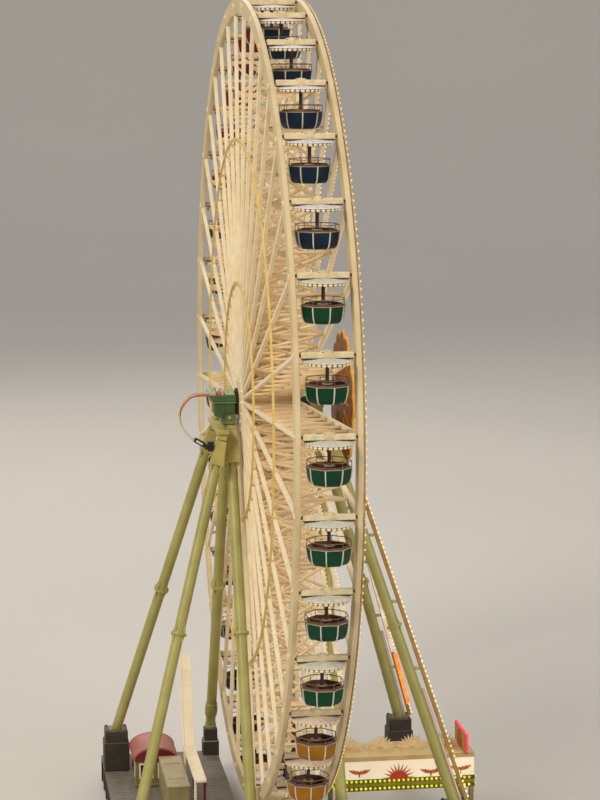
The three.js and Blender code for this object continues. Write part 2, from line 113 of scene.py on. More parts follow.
class ShaderGroups:
    """Shader node groups that several finishes share, each built once."""

    # Sockets of a mix node that blends colours, by number: its names come more than once
    MIX_FIRST = 6
    MIX_SECOND = 7
    MIX_RESULT = 2

    @staticmethod
    def _start(name: str, inputs: dict[str, str], output: str, kind: str) -> Tree:
        """Make a group with its sockets.

        Args:
            name: Group name.
            inputs: Socket types of the inputs, by name.
            output: Name of the output.
            kind: Socket type of the output.

        Returns:
            The new group.
        """
        group = bpy.data.node_groups.new(name, "ShaderNodeTree")
        for title, socket_type in inputs.items():
            group.interface.new_socket(title, in_out="INPUT", socket_type=socket_type)
        group.interface.new_socket(output, in_out="OUTPUT", socket_type=kind)
        return group

    @staticmethod
    def _noise(group: Tree, detail: float = 2.0) -> bpy.types.ShaderNode:
        """Add noise laid out in the piece's own coordinates to a group.

        Args:
            group: The group.
            detail: Detail of the noise.

        Returns:
            The noise's node.
        """
        place = group.nodes.new("ShaderNodeTexCoord")
        noise = group.nodes.new("ShaderNodeTexNoise")
        noise.inputs["Detail"].default_value = detail
        group.links.new(place.outputs["Object"], noise.inputs["Vector"])
        return noise

    @staticmethod
    def _product(group: Tree, first: Socket, second: Socket) -> Socket:
        """Multiply two values in a group.

        Args:
            group: The group.
            first: Socket of one value.
            second: Socket of the other.

        Returns:
            The product's socket.
        """
        node = group.nodes.new("ShaderNodeMath")
        node.operation = "MULTIPLY"
        group.links.new(first, node.inputs[0])
        group.links.new(second, node.inputs[1])
        return node.outputs[0]

    @classmethod
    def _blend(cls, group: Tree, share: Socket, entry: bpy.types.ShaderNode, other: str) -> None:
        """Give out the group's colour, blended towards another of its inputs.

        Args:
            group: The group.
            share: How much of the other colour shows.
            entry: The node of the group's inputs.
            other: Name of the other colour's input.
        """
        blend = group.nodes.new("ShaderNodeMix")
        blend.data_type = "RGBA"
        leave = group.nodes.new("NodeGroupOutput")
        group.links.new(share, blend.inputs["Factor"])
        group.links.new(entry.outputs["Colour"], blend.inputs[cls.MIX_FIRST])
        group.links.new(entry.outputs[other], blend.inputs[cls.MIX_SECOND])
        group.links.new(blend.outputs[cls.MIX_RESULT], leave.inputs["Colour"])

    @classmethod
    def mottle(cls) -> Tree:
        """Group that blends a colour towards a deeper shade in soft patches of a given size.

        Returns:
            The group.
        """
        name = "moulded_mottle"
        if name in bpy.data.node_groups:
            return bpy.data.node_groups[name]
        group = cls._start(name, {
            "Colour": "NodeSocketColor", "Shade": "NodeSocketColor",
            "Patches per metre": "NodeSocketFloat", "Share": "NodeSocketFloat",
        }, "Colour", "NodeSocketColor")
        entry = group.nodes.new("NodeGroupInput")
        noise = cls._noise(group, 3.0)
        spread = group.nodes.new("ShaderNodeMapRange")
        spread.inputs["From Min"].default_value = 0.35
        spread.inputs["From Max"].default_value = 0.7
        group.links.new(entry.outputs["Patches per metre"], noise.inputs["Scale"])
        group.links.new(noise.outputs["Fac"], spread.inputs["Value"])
        share = cls._product(group, spread.outputs["Result"], entry.outputs["Share"])
        cls._blend(group, share, entry, "Shade")
        return group

    @classmethod
    def dust_and_top_light(cls) -> Tree:
        """Group that lays a pale colour on faces that look up, in patches: partly settled dust, partly
        painted top light.

        Returns:
            The group.
        """
        name = "settled_dust"
        if name in bpy.data.node_groups:
            return bpy.data.node_groups[name]
        group = cls._start(name, {
            "Colour": "NodeSocketColor", "Dust": "NodeSocketColor", "Share": "NodeSocketFloat",
        }, "Colour", "NodeSocketColor")
        entry = group.nodes.new("NodeGroupInput")
        facing = group.nodes.new("ShaderNodeTexCoord")
        split = group.nodes.new("ShaderNodeSeparateXYZ")
        upward = group.nodes.new("ShaderNodeMapRange")
        upward.inputs["From Min"].default_value = 0.35
        noise = cls._noise(group)
        noise.inputs["Scale"].default_value = DUST_AND_TOP_LIGHT_PATCHES_PER_METRE
        group.links.new(facing.outputs["Normal"], split.inputs[0])
        group.links.new(split.outputs["Z"], upward.inputs["Value"])
        patchy = cls._product(group, upward.outputs["Result"], noise.outputs["Fac"])
        cls._blend(group, cls._product(group, patchy, entry.outputs["Share"]), entry, "Dust")
        return group

    @classmethod
    def grain(cls) -> Tree:
        """Group that gives the height of a fine moulded grain.

        Returns:
            The group.
        """
        name = "moulded_grain"
        if name in bpy.data.node_groups:
            return bpy.data.node_groups[name]
        group = cls._start(name, {"Grains per metre": "NodeSocketFloat"}, "Height", "NodeSocketFloat")
        entry, leave = group.nodes.new("NodeGroupInput"), group.nodes.new("NodeGroupOutput")
        noise = cls._noise(group)
        group.links.new(entry.outputs["Grains per metre"], noise.inputs["Scale"])
        group.links.new(noise.outputs["Fac"], leave.inputs["Height"])
        return group


@dataclass(frozen=True)
class Coating:
    """Any finish: a named material that is made when it is first asked for."""

    title: str

    def material(self) -> bpy.types.Material:
        """Make the finish's material once and hand it out from then on.

        Returns:
            The material.
        """
        if self.title in bpy.data.materials:
            return bpy.data.materials[self.title]
        material = bpy.data.materials.new(self.title)
        material.use_nodes = True
        self._fill(material.node_tree)
        return material

    def _fill(self, tree: Tree) -> None:
        """Set up the material's nodes, as each kind of finish does in its own way."""
        raise NotImplementedError

    @staticmethod
    def _mottled(tree: Tree, colour: Colour, shade: Colour, patch: float, share: float) -> Socket:
        """Add soft patches of a deeper shade to a material.

        Args:
            tree: The material's nodes.
            colour: The main colour.
            shade: The deeper one.
            patch: Size of a patch in millimetres.
            share: How strongly the patches show.

        Returns:
            The socket of the mottled colour.
        """
        node = tree.nodes.new("ShaderNodeGroup")
        node.node_tree = ShaderGroups.mottle()
        node.inputs["Colour"].default_value = (*colour, 1.0)
        node.inputs["Shade"].default_value = (*shade, 1.0)
        node.inputs["Patches per metre"].default_value = 1 / (patch * MM)
        node.inputs["Share"].default_value = share
        return node.outputs["Colour"]


@dataclass(frozen=True)
class Plastic(Coating):
    """Moulded or painted plastic: colour, deeper shade, gloss, grain, dust plus painted top light, and
    painted glow.
    """

    colour: Colour
    shade: Colour
    roughness: float = 0.5
    share: float = 0.6
    patch: float = 9.0
    # Share of the pale colour on upward faces: partly dust, partly painted top light.
    dust_and_top_light: float = 0.15
    grain: float = 0.03
    coat: float = 0.0
    gloss: float = 0.5
    # Strength of a painted glow: the plastic gives out light though it is no lamp.
    lit: float = 0.0

    def _fill(self, tree: Tree) -> None:
        """Set up the plastic's nodes.

        Args:
            tree: The material's nodes.
        """
        nodes, links = tree.nodes, tree.links
        shader = nodes["Principled BSDF"]
        shader.inputs["Roughness"].default_value = self.roughness
        shader.inputs["Coat Weight"].default_value = self.coat
        shader.inputs["Coat Roughness"].default_value = 0.25
        shader.inputs["Specular IOR Level"].default_value = self.gloss
        shader.inputs["Emission Strength"].default_value = self.lit
        mottled = self._mottled(tree, self.colour, self.shade, self.patch, self.share)
        # Upward faces made paler in patches: partly dust, partly painted top light.
        dust_and_top_light = nodes.new("ShaderNodeGroup")
        dust_and_top_light.node_tree = ShaderGroups.dust_and_top_light()
        dust_and_top_light.inputs["Dust"].default_value = (*DUST_AND_TOP_LIGHT, 1.0)
        dust_and_top_light.inputs["Share"].default_value = self.dust_and_top_light
        grain = nodes.new("ShaderNodeGroup")
        grain.node_tree = ShaderGroups.grain()
        grain.inputs["Grains per metre"].default_value = GRAINS_PER_METRE
        bump = nodes.new("ShaderNodeBump")
        bump.inputs["Strength"].default_value = 0.5
        bump.inputs["Distance"].default_value = self.grain * MM
        links.new(mottled, dust_and_top_light.inputs["Colour"])
        links.new(dust_and_top_light.outputs["Colour"], shader.inputs["Base Color"])
        # Painted glow: the plastic's own colour is given out as light, though it is no lamp.
        if self.lit:
            links.new(mottled, shader.inputs["Emission Color"])
        links.new(grain.outputs["Height"], bump.inputs["Height"])
        links.new(bump.outputs["Normal"], shader.inputs["Normal"])


@dataclass(frozen=True)
class Lamp(Coating):
    """Small lit bulb: the colour of its cap and of its glow."""

    colour: Colour
    glow: Colour
    strength: float = 1.0

    def _fill(self, tree: Tree) -> None:
        """Set up the bulb's nodes.

        Args:
            tree: The material's nodes.
        """
        shader = tree.nodes["Principled BSDF"]
        shader.inputs["Roughness"].default_value = 0.25
        shader.inputs["Emission Strength"].default_value = self.strength
        dim = tuple(0.35 * channel for channel in self.glow)
        cap = self._mottled(tree, self.colour, self.glow, LAMP_PATCH, 0.8)
        glow = self._mottled(tree, self.glow, dim, LAMP_PATCH, 1.0)
        tree.links.new(cap, shader.inputs["Base Color"])
        tree.links.new(glow, shader.inputs["Emission Color"])


class Finish(Enum):
    """Finishes of the model's plastics, paints and bulbs."""

    SPOKE = Plastic("spoke_cream", srgb(244, 228, 192), srgb(226, 200, 150), roughness=0.42)
    # Braces and rungs: the spokes' cream painted deeper, as painted shade inside the truss.
    BRACE_PAINTED_SHADE = Plastic("brace_beige", srgb(226, 198, 152), srgb(198, 162, 112))
    RIM = Plastic("rim_beige", srgb(214, 194, 150), srgb(186, 162, 112), roughness=0.45, patch=22)
    HOOP = Plastic("hoop_yellow", srgb(226, 196, 112), srgb(198, 162, 80), roughness=0.45)
    # The drum's deeper golden beige is painted shade between the hub's flanges.
    DRUM_PAINTED_SHADE = Plastic("drum_beige", srgb(222, 192, 138), srgb(186, 148, 96), roughness=0.45, patch=5)
    BAR = Plastic("bar_cream", srgb(224, 208, 166), srgb(190, 166, 124), roughness=0.55, patch=4, dust_and_top_light=0.35)
    RIB = Plastic("rib_white", srgb(208, 202, 186), srgb(178, 168, 146), patch=3)
    TRIM = Plastic("rim_line_brown", srgb(166, 146, 124), srgb(118, 96, 78), patch=3, dust_and_top_light=0.1)
    VALANCE = Plastic("valance_cream", srgb(240, 224, 178), srgb(212, 182, 128), patch=2)
    CANOPY_BLUE = Plastic("canopy_lavender", srgb(228, 222, 232), srgb(192, 182, 200), patch=3, dust_and_top_light=0.3)
    CANOPY_GREEN = Plastic("canopy_grey_green", srgb(210, 210, 198), srgb(172, 170, 156), patch=3, dust_and_top_light=0.3)
    CANOPY_OCHRE = Plastic("canopy_beige", srgb(228, 208, 188), srgb(192, 164, 138), patch=3, dust_and_top_light=0.3)
    CANOPY_RED = Plastic("canopy_rose", srgb(228, 210, 204), srgb(196, 166, 158), patch=3, dust_and_top_light=0.3)
    TUB_BLUE = Plastic("tub_blue", srgb(14, 38, 58), srgb(8, 24, 40), dust_and_top_light=0.03, gloss=0.2)
    TUB_GREEN = Plastic("tub_green", srgb(0, 62, 36), srgb(0, 42, 24), dust_and_top_light=0.03, gloss=0.2)
    TUB_OCHRE = Plastic("tub_ochre", srgb(156, 104, 12), srgb(120, 74, 6), dust_and_top_light=0.03, gloss=0.2)
    TUB_RED = Plastic("tub_maroon", srgb(104, 22, 34), srgb(70, 12, 22), dust_and_top_light=0.03, gloss=0.2)
    DARK_WOOD = Plastic("pole_dark_brown", srgb(78, 52, 38), srgb(48, 30, 22), patch=3)
    SHADOW = Plastic("valance_shadow", srgb(44, 32, 26), srgb(26, 18, 16), roughness=0.7, dust_and_top_light=0.0)
    SEAT = Plastic("seat_brown", srgb(122, 90, 68), srgb(84, 60, 46), patch=2, dust_and_top_light=0.1)
    WIRE = Plastic("rail_wire_brown", srgb(120, 92, 74), srgb(84, 62, 50), patch=3, dust_and_top_light=0.0)
    TABLE = Plastic("table_brown", srgb(170, 144, 108), srgb(124, 98, 68), patch=3)
    OLIVE = Plastic("leg_olive", srgb(172, 166, 96), srgb(142, 135, 66), roughness=0.42, patch=18, dust_and_top_light=0.2)
    SOCKET = Plastic("socket_olive", srgb(182, 170, 96), srgb(156, 142, 72), roughness=0.45, patch=8,
                     dust_and_top_light=0.25)
    OLIVE_DEEP = Plastic("leg_olive_deep", srgb(126, 124, 60), srgb(92, 88, 36), roughness=0.45, dust_and_top_light=0.1)
    BRACKET = Plastic("bracket_pale_green", srgb(188, 190, 130), srgb(146, 150, 88), roughness=0.45, patch=4)
    GREEN = Plastic("drive_green", srgb(66, 96, 58), srgb(44, 68, 40), roughness=0.45, patch=6, dust_and_top_light=0.12)
    GREEN_MID = Plastic("drive_grey_green", srgb(118, 134, 88), srgb(84, 100, 60), roughness=0.45, patch=5)
    GREEN_PALE = Plastic("drive_pale_green", srgb(182, 194, 150), srgb(140, 156, 110), patch=3, dust_and_top_light=0.3)
    BLACK = Plastic("drive_black", srgb(30, 30, 32), srgb(18, 18, 20), roughness=0.4, dust_and_top_light=0.05)
    LEAD_RED = Plastic("lead_red", srgb(204, 92, 78), srgb(168, 62, 52), roughness=0.4, patch=5, dust_and_top_light=0.05)
    LEAD_PALE = Plastic("lead_pale_olive", srgb(190, 194, 146), srgb(150, 142, 74), roughness=0.4)
    WHITE = Plastic("plug_white", srgb(226, 222, 210), srgb(198, 192, 176), roughness=0.45, patch=3)
    BLOCK = Plastic("block_dark", srgb(60, 52, 40), srgb(40, 34, 28), roughness=0.65, patch=7, dust_and_top_light=0.22)
    BLOCK_EDGE = Plastic("block_pale_edge", srgb(150, 140, 116), srgb(112, 102, 82), roughness=0.6, patch=5)
    DECK = Plastic("deck_grey", srgb(110, 102, 90), srgb(76, 70, 62), roughness=0.7, dust_and_top_light=0.25)
    KHAKI = Plastic("store_khaki", srgb(158, 144, 98), srgb(128, 114, 70), roughness=0.55, patch=14)
    LID = Plastic("store_lid", srgb(172, 158, 120), srgb(146, 130, 92), roughness=0.55, patch=14)
    WALL = Plastic("booth_wall", srgb(136, 120, 78), srgb(110, 94, 58), roughness=0.55, patch=10)
    ROOF = Plastic("booth_roof", srgb(176, 100, 88), srgb(148, 76, 66), patch=10, dust_and_top_light=0.25)
    ROOF_DEEP = Plastic("roof_deep_red", srgb(124, 28, 26), srgb(86, 16, 16), patch=8)
    PANEL = Plastic("panel_cream", srgb(248, 236, 208), srgb(230, 212, 174), patch=16)
    # The fascia's lit value is a painted glow: it is cream plastic, no lamp.
    FASCIA = Plastic("fascia_cream", srgb(252, 238, 208), srgb(236, 218, 182), patch=14, lit=0.32)
    BAND_DEEP = Plastic("band_deep_olive", srgb(100, 88, 18), srgb(72, 62, 10), patch=8, dust_and_top_light=0.05)
    STRIP = Plastic("rim_strip_brown", srgb(186, 156, 110), srgb(146, 116, 76))
    BAND = Plastic("band_olive", srgb(160, 140, 28), srgb(124, 106, 16), patch=8)
    GOLD = Plastic("cornice_gold", srgb(238, 208, 144), srgb(212, 178, 110), roughness=0.42, patch=7)
    GOLD_DEEP = Plastic("cornice_brown_gold", srgb(204, 174, 112), srgb(172, 140, 82), roughness=0.45,
                        patch=7)
    CREST = Plastic("crest_gold_beige", srgb(244, 222, 176), srgb(218, 188, 136), patch=4)
    EMBER = Plastic("ornament_red_orange", srgb(210, 66, 40), srgb(184, 48, 30), roughness=0.45, patch=3)
    RAY = Plastic("ornament_orange_brown", srgb(206, 132, 66), srgb(172, 100, 46), roughness=0.45, patch=3)
    BOARD = Plastic("gable_orange_brown", srgb(200, 126, 84), srgb(164, 98, 62), patch=8)
    SUN_BACK = Plastic("ornament_back_brown", srgb(150, 106, 52), srgb(92, 60, 34), patch=5)
    SUN_FACE = Plastic("sun_face", srgb(242, 182, 56), srgb(224, 138, 36), roughness=0.4, patch=10, coat=0.2)
    RAIL = Plastic("rail_gold_olive", srgb(176, 142, 74), srgb(136, 106, 50), roughness=0.45, patch=6)
    LAVENDER = Plastic("strip_lavender", srgb(226, 210, 206), srgb(198, 176, 174))
    BULB_GOLD = Lamp("bulb_gold", srgb(255, 222, 140), srgb(255, 190, 84), strength=0.7)
    BULB_WARM = Lamp("bulb_warm_white", srgb(255, 238, 200), srgb(255, 218, 150), strength=0.9)
    BULB_RIM = Lamp("bulb_rim_cream", srgb(252, 226, 160), srgb(250, 200, 116), strength=0.7)
    BULB_AMBER = Lamp("bulb_amber", srgb(250, 196, 140), srgb(246, 158, 96), strength=0.6)
    BULB_LIME = Lamp("bulb_lime", srgb(222, 232, 60), srgb(200, 214, 34), strength=0.8)
    BULB_RED = Lamp("bulb_red", srgb(255, 96, 110), srgb(255, 48, 74), strength=1.0)
    GLOW_ORANGE = Lamp("strip_orange", srgb(255, 166, 84), srgb(255, 138, 50), strength=1.0)
    GLOW_WHITE = Lamp("strip_white", srgb(240, 230, 216), srgb(232, 208, 178), strength=0.5)


CANOPY_OF_SLOT = {
    "cabin_blue": (Finish.TUB_BLUE, Finish.CANOPY_BLUE),
    "cabin_green": (Finish.TUB_GREEN, Finish.CANOPY_GREEN),
    "cabin_ochre": (Finish.TUB_OCHRE, Finish.CANOPY_OCHRE),
    "cabin_red": (Finish.TUB_RED, Finish.CANOPY_RED),
}


class Turning(Enum):
    """Axes that a round piece is turned about, as the direction of its height."""

    X = (1.0, 0.0, 0.0)
    Y = (0.0, 1.0, 0.0)
    Z = (0.0, 0.0, 1.0)


def stood(origin: Vector, direction: Vector, side: Vector) -> Matrix:
    """Set up a place to work from, with its Z along a direction.

    Args:
        origin: Where the place is.
        direction: Where its Z points.
        side: About where its X points.

    Returns:
        The matrix of the place.
    """
    z = Vector(direction).normalized()
    guide = Vector(side)
    if z.cross(guide).length < 1e-6:
        guide = z.orthogonal()
    x = (guide - z * z.dot(guide)).normalized()
    y = z.cross(x)
    matrix = Matrix((x, y, z)).transposed().to_4x4()
    matrix.translation = origin
    return matrix


def turning(axis: Turning) -> Matrix:
    """Place at the origin that turns about one of the main axes, which heights count along."""
    side = UP if axis is Turning.X else X_WAY
    return stood(Vector((0, 0, 0)), Vector(axis.value), side)


class Shape:
    """A mesh under construction in millimetres, painted with one finish after another."""

    def __init__(self) -> None:
        """Start an empty shape."""
        self.bm = bmesh.new()
        self.finishes: list[Finish] = []
        self.brush = 0

    def paint(self, finish: Finish) -> "Shape":
        """Pick the finish of the parts that follow.

        Args:
            finish: The finish.

        Returns:
            The shape.
        """
        if finish not in self.finishes:
            self.finishes.append(finish)
        self.brush = self.finishes.index(finish)
        return self

    def _join(self, part: bmesh.types.BMesh) -> None:
        """Turn a part's faces outwards, paint it and join it to the shape.

        Args:
            part: The part.
        """
        bmesh.ops.remove_doubles(part, verts=part.verts, dist=1e-3)
        bmesh.ops.recalc_face_normals(part, faces=part.faces)
        for face in part.faces:
            face.material_index = self.brush
        mesh = bpy.data.meshes.new("part")
        part.to_mesh(mesh)
        part.free()
        self.bm.from_mesh(mesh)
        bpy.data.meshes.remove(mesh)

    def block(self, low: Place, high: Place, edge: float = 0.0) -> "Shape":
        """Add a box with its edges eased.

        Args:
            low: Lowest corner.
            high: Highest corner.
            edge: Width of the eased edge.

        Returns:
            The shape.
        """
        low, high = Vector(low), Vector(high)
        return self._cube(Matrix.Translation((low + high) / 2) @ Matrix.Diagonal((*(high - low), 1.0)), edge)

    def _cube(self, matrix: Matrix, edge: float) -> "Shape":
        """Add a cube stretched to a box, with eased edges.

        Args:
            matrix: Size and place of the cube.
            edge: Width of the eased edges.

        Returns:
            The shape.
        """
        part = bmesh.new()
        bmesh.ops.create_cube(part, size=1.0, matrix=matrix)
        self._ease(part, edge)
        self._join(part)
        return self

    @staticmethod
    def _ease(part: bmesh.types.BMesh, edge: float) -> None:
        """Bevel every edge of a part by a width, if it has one."""
        if edge > 0:
            bmesh.ops.bevel(part, geom=part.edges[:], offset=edge, affect="EDGES", segments=1,
                            profile=0.5, material=-1)

    def bar(self, start: Vector, end: Vector, width: float, depth: float, side: Vector,
            edge: float = 0.0) -> "Shape":
        """Add a square bar between two points.

        Args:
            start: One end.
            end: Other end.
            width: Size towards the side.
            depth: Size across it.
            side: Direction that the width lies along.
            edge: Width of the eased edges.

        Returns:
            The shape.
        """
        start, end = Vector(start), Vector(end)
        place = stood((start + end) / 2, end - start, side)
        return self._cube(place @ Matrix.Diagonal((width, depth, (end - start).length, 1.0)), edge)

    def rod(self, start: Vector, end: Vector, radius: float, sides: int = 8,
            end_radius: float | None = None, side: Vector = X_WAY, twist: float = 0.0) -> "Shape":
        """Add a round or many-sided bar between two points.

        Args:
            start: One end.
            end: Other end.
            radius: Radius at the start.
            sides: Number of sides.
            end_radius: Radius at the end, the same as at the start if left out.
            side: Direction of its first corner.
            twist: Turn about its line, in degrees.

        Returns:
            The shape.
        """
        start, end = Vector(start), Vector(end)
        part = bmesh.new()
        last = radius if end_radius is None else end_radius
        place = stood((start + end) / 2, end - start, side) @ Matrix.Rotation(math.radians(twist), 4, "Z")
        bmesh.ops.create_cone(part, cap_ends=True, segments=sides, radius1=radius, radius2=last,
                              depth=(end - start).length, matrix=place)
        self._join(part)
        return self

    def ball(self, centre: Vector, radius: float, detail: int = 1,
             stretch: Place = (1.0, 1.0, 1.0)) -> "Shape":
        """Add a small ball.

        Args:
            centre: Its middle.
            radius: Its radius.
            detail: Rounds of subdivision.
            stretch: Factors along X, Y and Z.

        Returns:
            The shape.
        """
        part = bmesh.new()
        matrix = Matrix.Translation(Vector(centre)) @ Matrix.Diagonal((*stretch, 1.0))
        bmesh.ops.create_icosphere(part, subdivisions=detail, radius=radius, matrix=matrix)
        self._join(part)
        return self

    def turned(self, profile: Profile, steps: int, place: Matrix, closed: bool = False) -> "Shape":
        """Add a profile turned right round.

        Args:
            profile: Points as radius and height.
            steps: Sides of the turned piece.
            place: Where it is turned, about the place's Z.
            closed: Whether the last point joins the first.

        Returns:
            The shape.
        """
        part = bmesh.new()
        corners = [part.verts.new((radius, 0.0, height)) for radius, height in profile]
        pairs = list(zip(corners, corners[1:]))
        if closed:
            pairs.append((corners[-1], corners[0]))
        edges = [part.edges.new(pair) for pair in pairs]
        bmesh.ops.spin(part, geom=corners + edges, cent=(0, 0, 0), axis=(0, 0, 1), dvec=(0, 0, 0),
                       angle=FULL_TURN, steps=steps, use_merge=True, use_duplicate=False)
        bmesh.ops.transform(part, matrix=place, verts=part.verts)
        self._join(part)
        return self

    def ring(self, radii: Span, heights: Span, steps: int, place: Matrix) -> "Shape":
        """Add a ring of four-cornered section.

        Args:
            radii: Radius inside and outside.
            heights: Heights of its two flat faces.
            steps: Sides of the ring.
            place: Where it is turned, about the place's Z.

        Returns:
            The shape.
        """
        (inner, outer), (first, last) = radii, heights
        return self.turned([(inner, first), (outer, first), (outer, last), (inner, last)], steps, place,
                           closed=True)

    def plate(self, outline: list[Vector], thickness: Vector, edge: float = 0.0) -> "Shape":
        """Add a flat plate.

        Args:
            outline: Corners of one face, in order.
            thickness: Way from that face to the other.
            edge: Width of the eased edges.

        Returns:
            The shape.
        """
        part = bmesh.new()
        face = part.faces.new([part.verts.new(corner) for corner in outline])
        raised = bmesh.ops.extrude_face_region(part, geom=[face])
        moved = [item for item in raised["geom"] if isinstance(item, bmesh.types.BMVert)]
        bmesh.ops.translate(part, vec=thickness, verts=moved)
        self._ease(part, edge)
        self._join(part)
        return self

    def hose(self, line: list[Vector], radius: float, sides: int = 8) -> "Shape":
        """Add a round tube along a line of points.

        Args:
            line: Points that its middle follows.
            radius: Its radius.
            sides: Sides of its section.

        Returns:
            The shape.
        """
        part = bmesh.new()
        rings = []
        for i, point in enumerate(line):
            ahead = line[min(i + 1, len(line) - 1)] - line[max(i - 1, 0)]
            place = stood(point, ahead, Vector((1, 0, 0.2)))
            ring = bmesh.ops.create_circle(part, cap_ends=i in (0, len(line) - 1), radius=radius,
                                           segments=sides, matrix=place)
            rings.append([edge for edge in part.edges if all(vert in ring["verts"] for vert in edge.verts)])
        for first, second in zip(rings, rings[1:]):
            bmesh.ops.bridge_loops(part, edges=first + second)
        self._join(part)
        return self

    def put(self, other: "Shape", place: Matrix) -> "Shape":
        """Add a copy of another shape.

        Args:
            other: The shape to copy.
            place: Where the copy goes.

        Returns:
            The shape.
        """
        mesh = bpy.data.meshes.new("copy")
        other.bm.to_mesh(mesh)
        mesh.transform(place)
        for polygon in mesh.polygons:
            finish = other.finishes[polygon.material_index]
            if finish not in self.finishes:
                self.finishes.append(finish)
            polygon.material_index = self.finishes.index(finish)
        self.bm.from_mesh(mesh)
        bpy.data.meshes.remove(mesh)
        return self

    def settle(self, name: str, place: Matrix, body: str, slot: str, replaces: tuple[str, ...] = ()) -> None:
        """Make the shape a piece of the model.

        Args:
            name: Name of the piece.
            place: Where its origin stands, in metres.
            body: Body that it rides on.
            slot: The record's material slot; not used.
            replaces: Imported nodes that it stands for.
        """
        mesh = bpy.data.meshes.new(name)
        self.bm.to_mesh(mesh)
        mesh.transform(place @ Matrix.Scale(MM, 4))
        for finish in self.finishes:
            mesh.materials.append(finish.value.material())
        mesh.shade_smooth()
        mesh.set_sharp_from_angle(angle=math.radians(SHARP_EDGE))
        piece = bpy.data.objects.new(name, mesh)
        bpy.context.scene.collection.objects.link(piece)
        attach(piece, body)
        if replaces:
            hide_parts(*replaces)
        log.info("%s: %d faces", name, len(mesh.polygons))


@dataclass
class Setting:
    """Places that the whole model is set out from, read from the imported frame."""

    hub: Vector
    pivots: list[Vector]
    slots: dict[str, str]

    @classmethod
    def read(cls, frame: dict) -> "Setting":
        """Read the axle, the pivots and the material slots from the frame.


        Returns:
            The setting.
        """
        joints = {joint["name"]: Vector(joint["pos_m"]) for joint in frame["joints"]}
        pivots = [joints[name] for name in sorted(joints) if name.startswith("cabin_")]
        slots = {row["node"]: row["material_slot"] for row in frame["record"]["subparts"]}
        return cls(joints["wheel_spin"], pivots, slots)

    @property
    def at_hub(self) -> Matrix:
        """Place of the axle's middle."""
        return Matrix.Translation(self.hub)

    @property
    def on_ground(self) -> Matrix:
        """Place on the ground under the axle's middle."""
        return Matrix.Translation((0.0, self.hub.y, 0.0))


def half_circle(steps: int) -> list[float]:
    """Angles from nought to half a turn in even steps."""
    return [math.pi * i / steps for i in range(steps + 1)]


def on_wheel(radius: float, angle: float, y: float) -> Vector:
    """Point of the wheel at a radius, an angle in degrees above -X, and a place along the axle."""
    turn = math.radians(angle)
    return Vector((-radius * math.cos(turn), y, radius * math.sin(turn)))


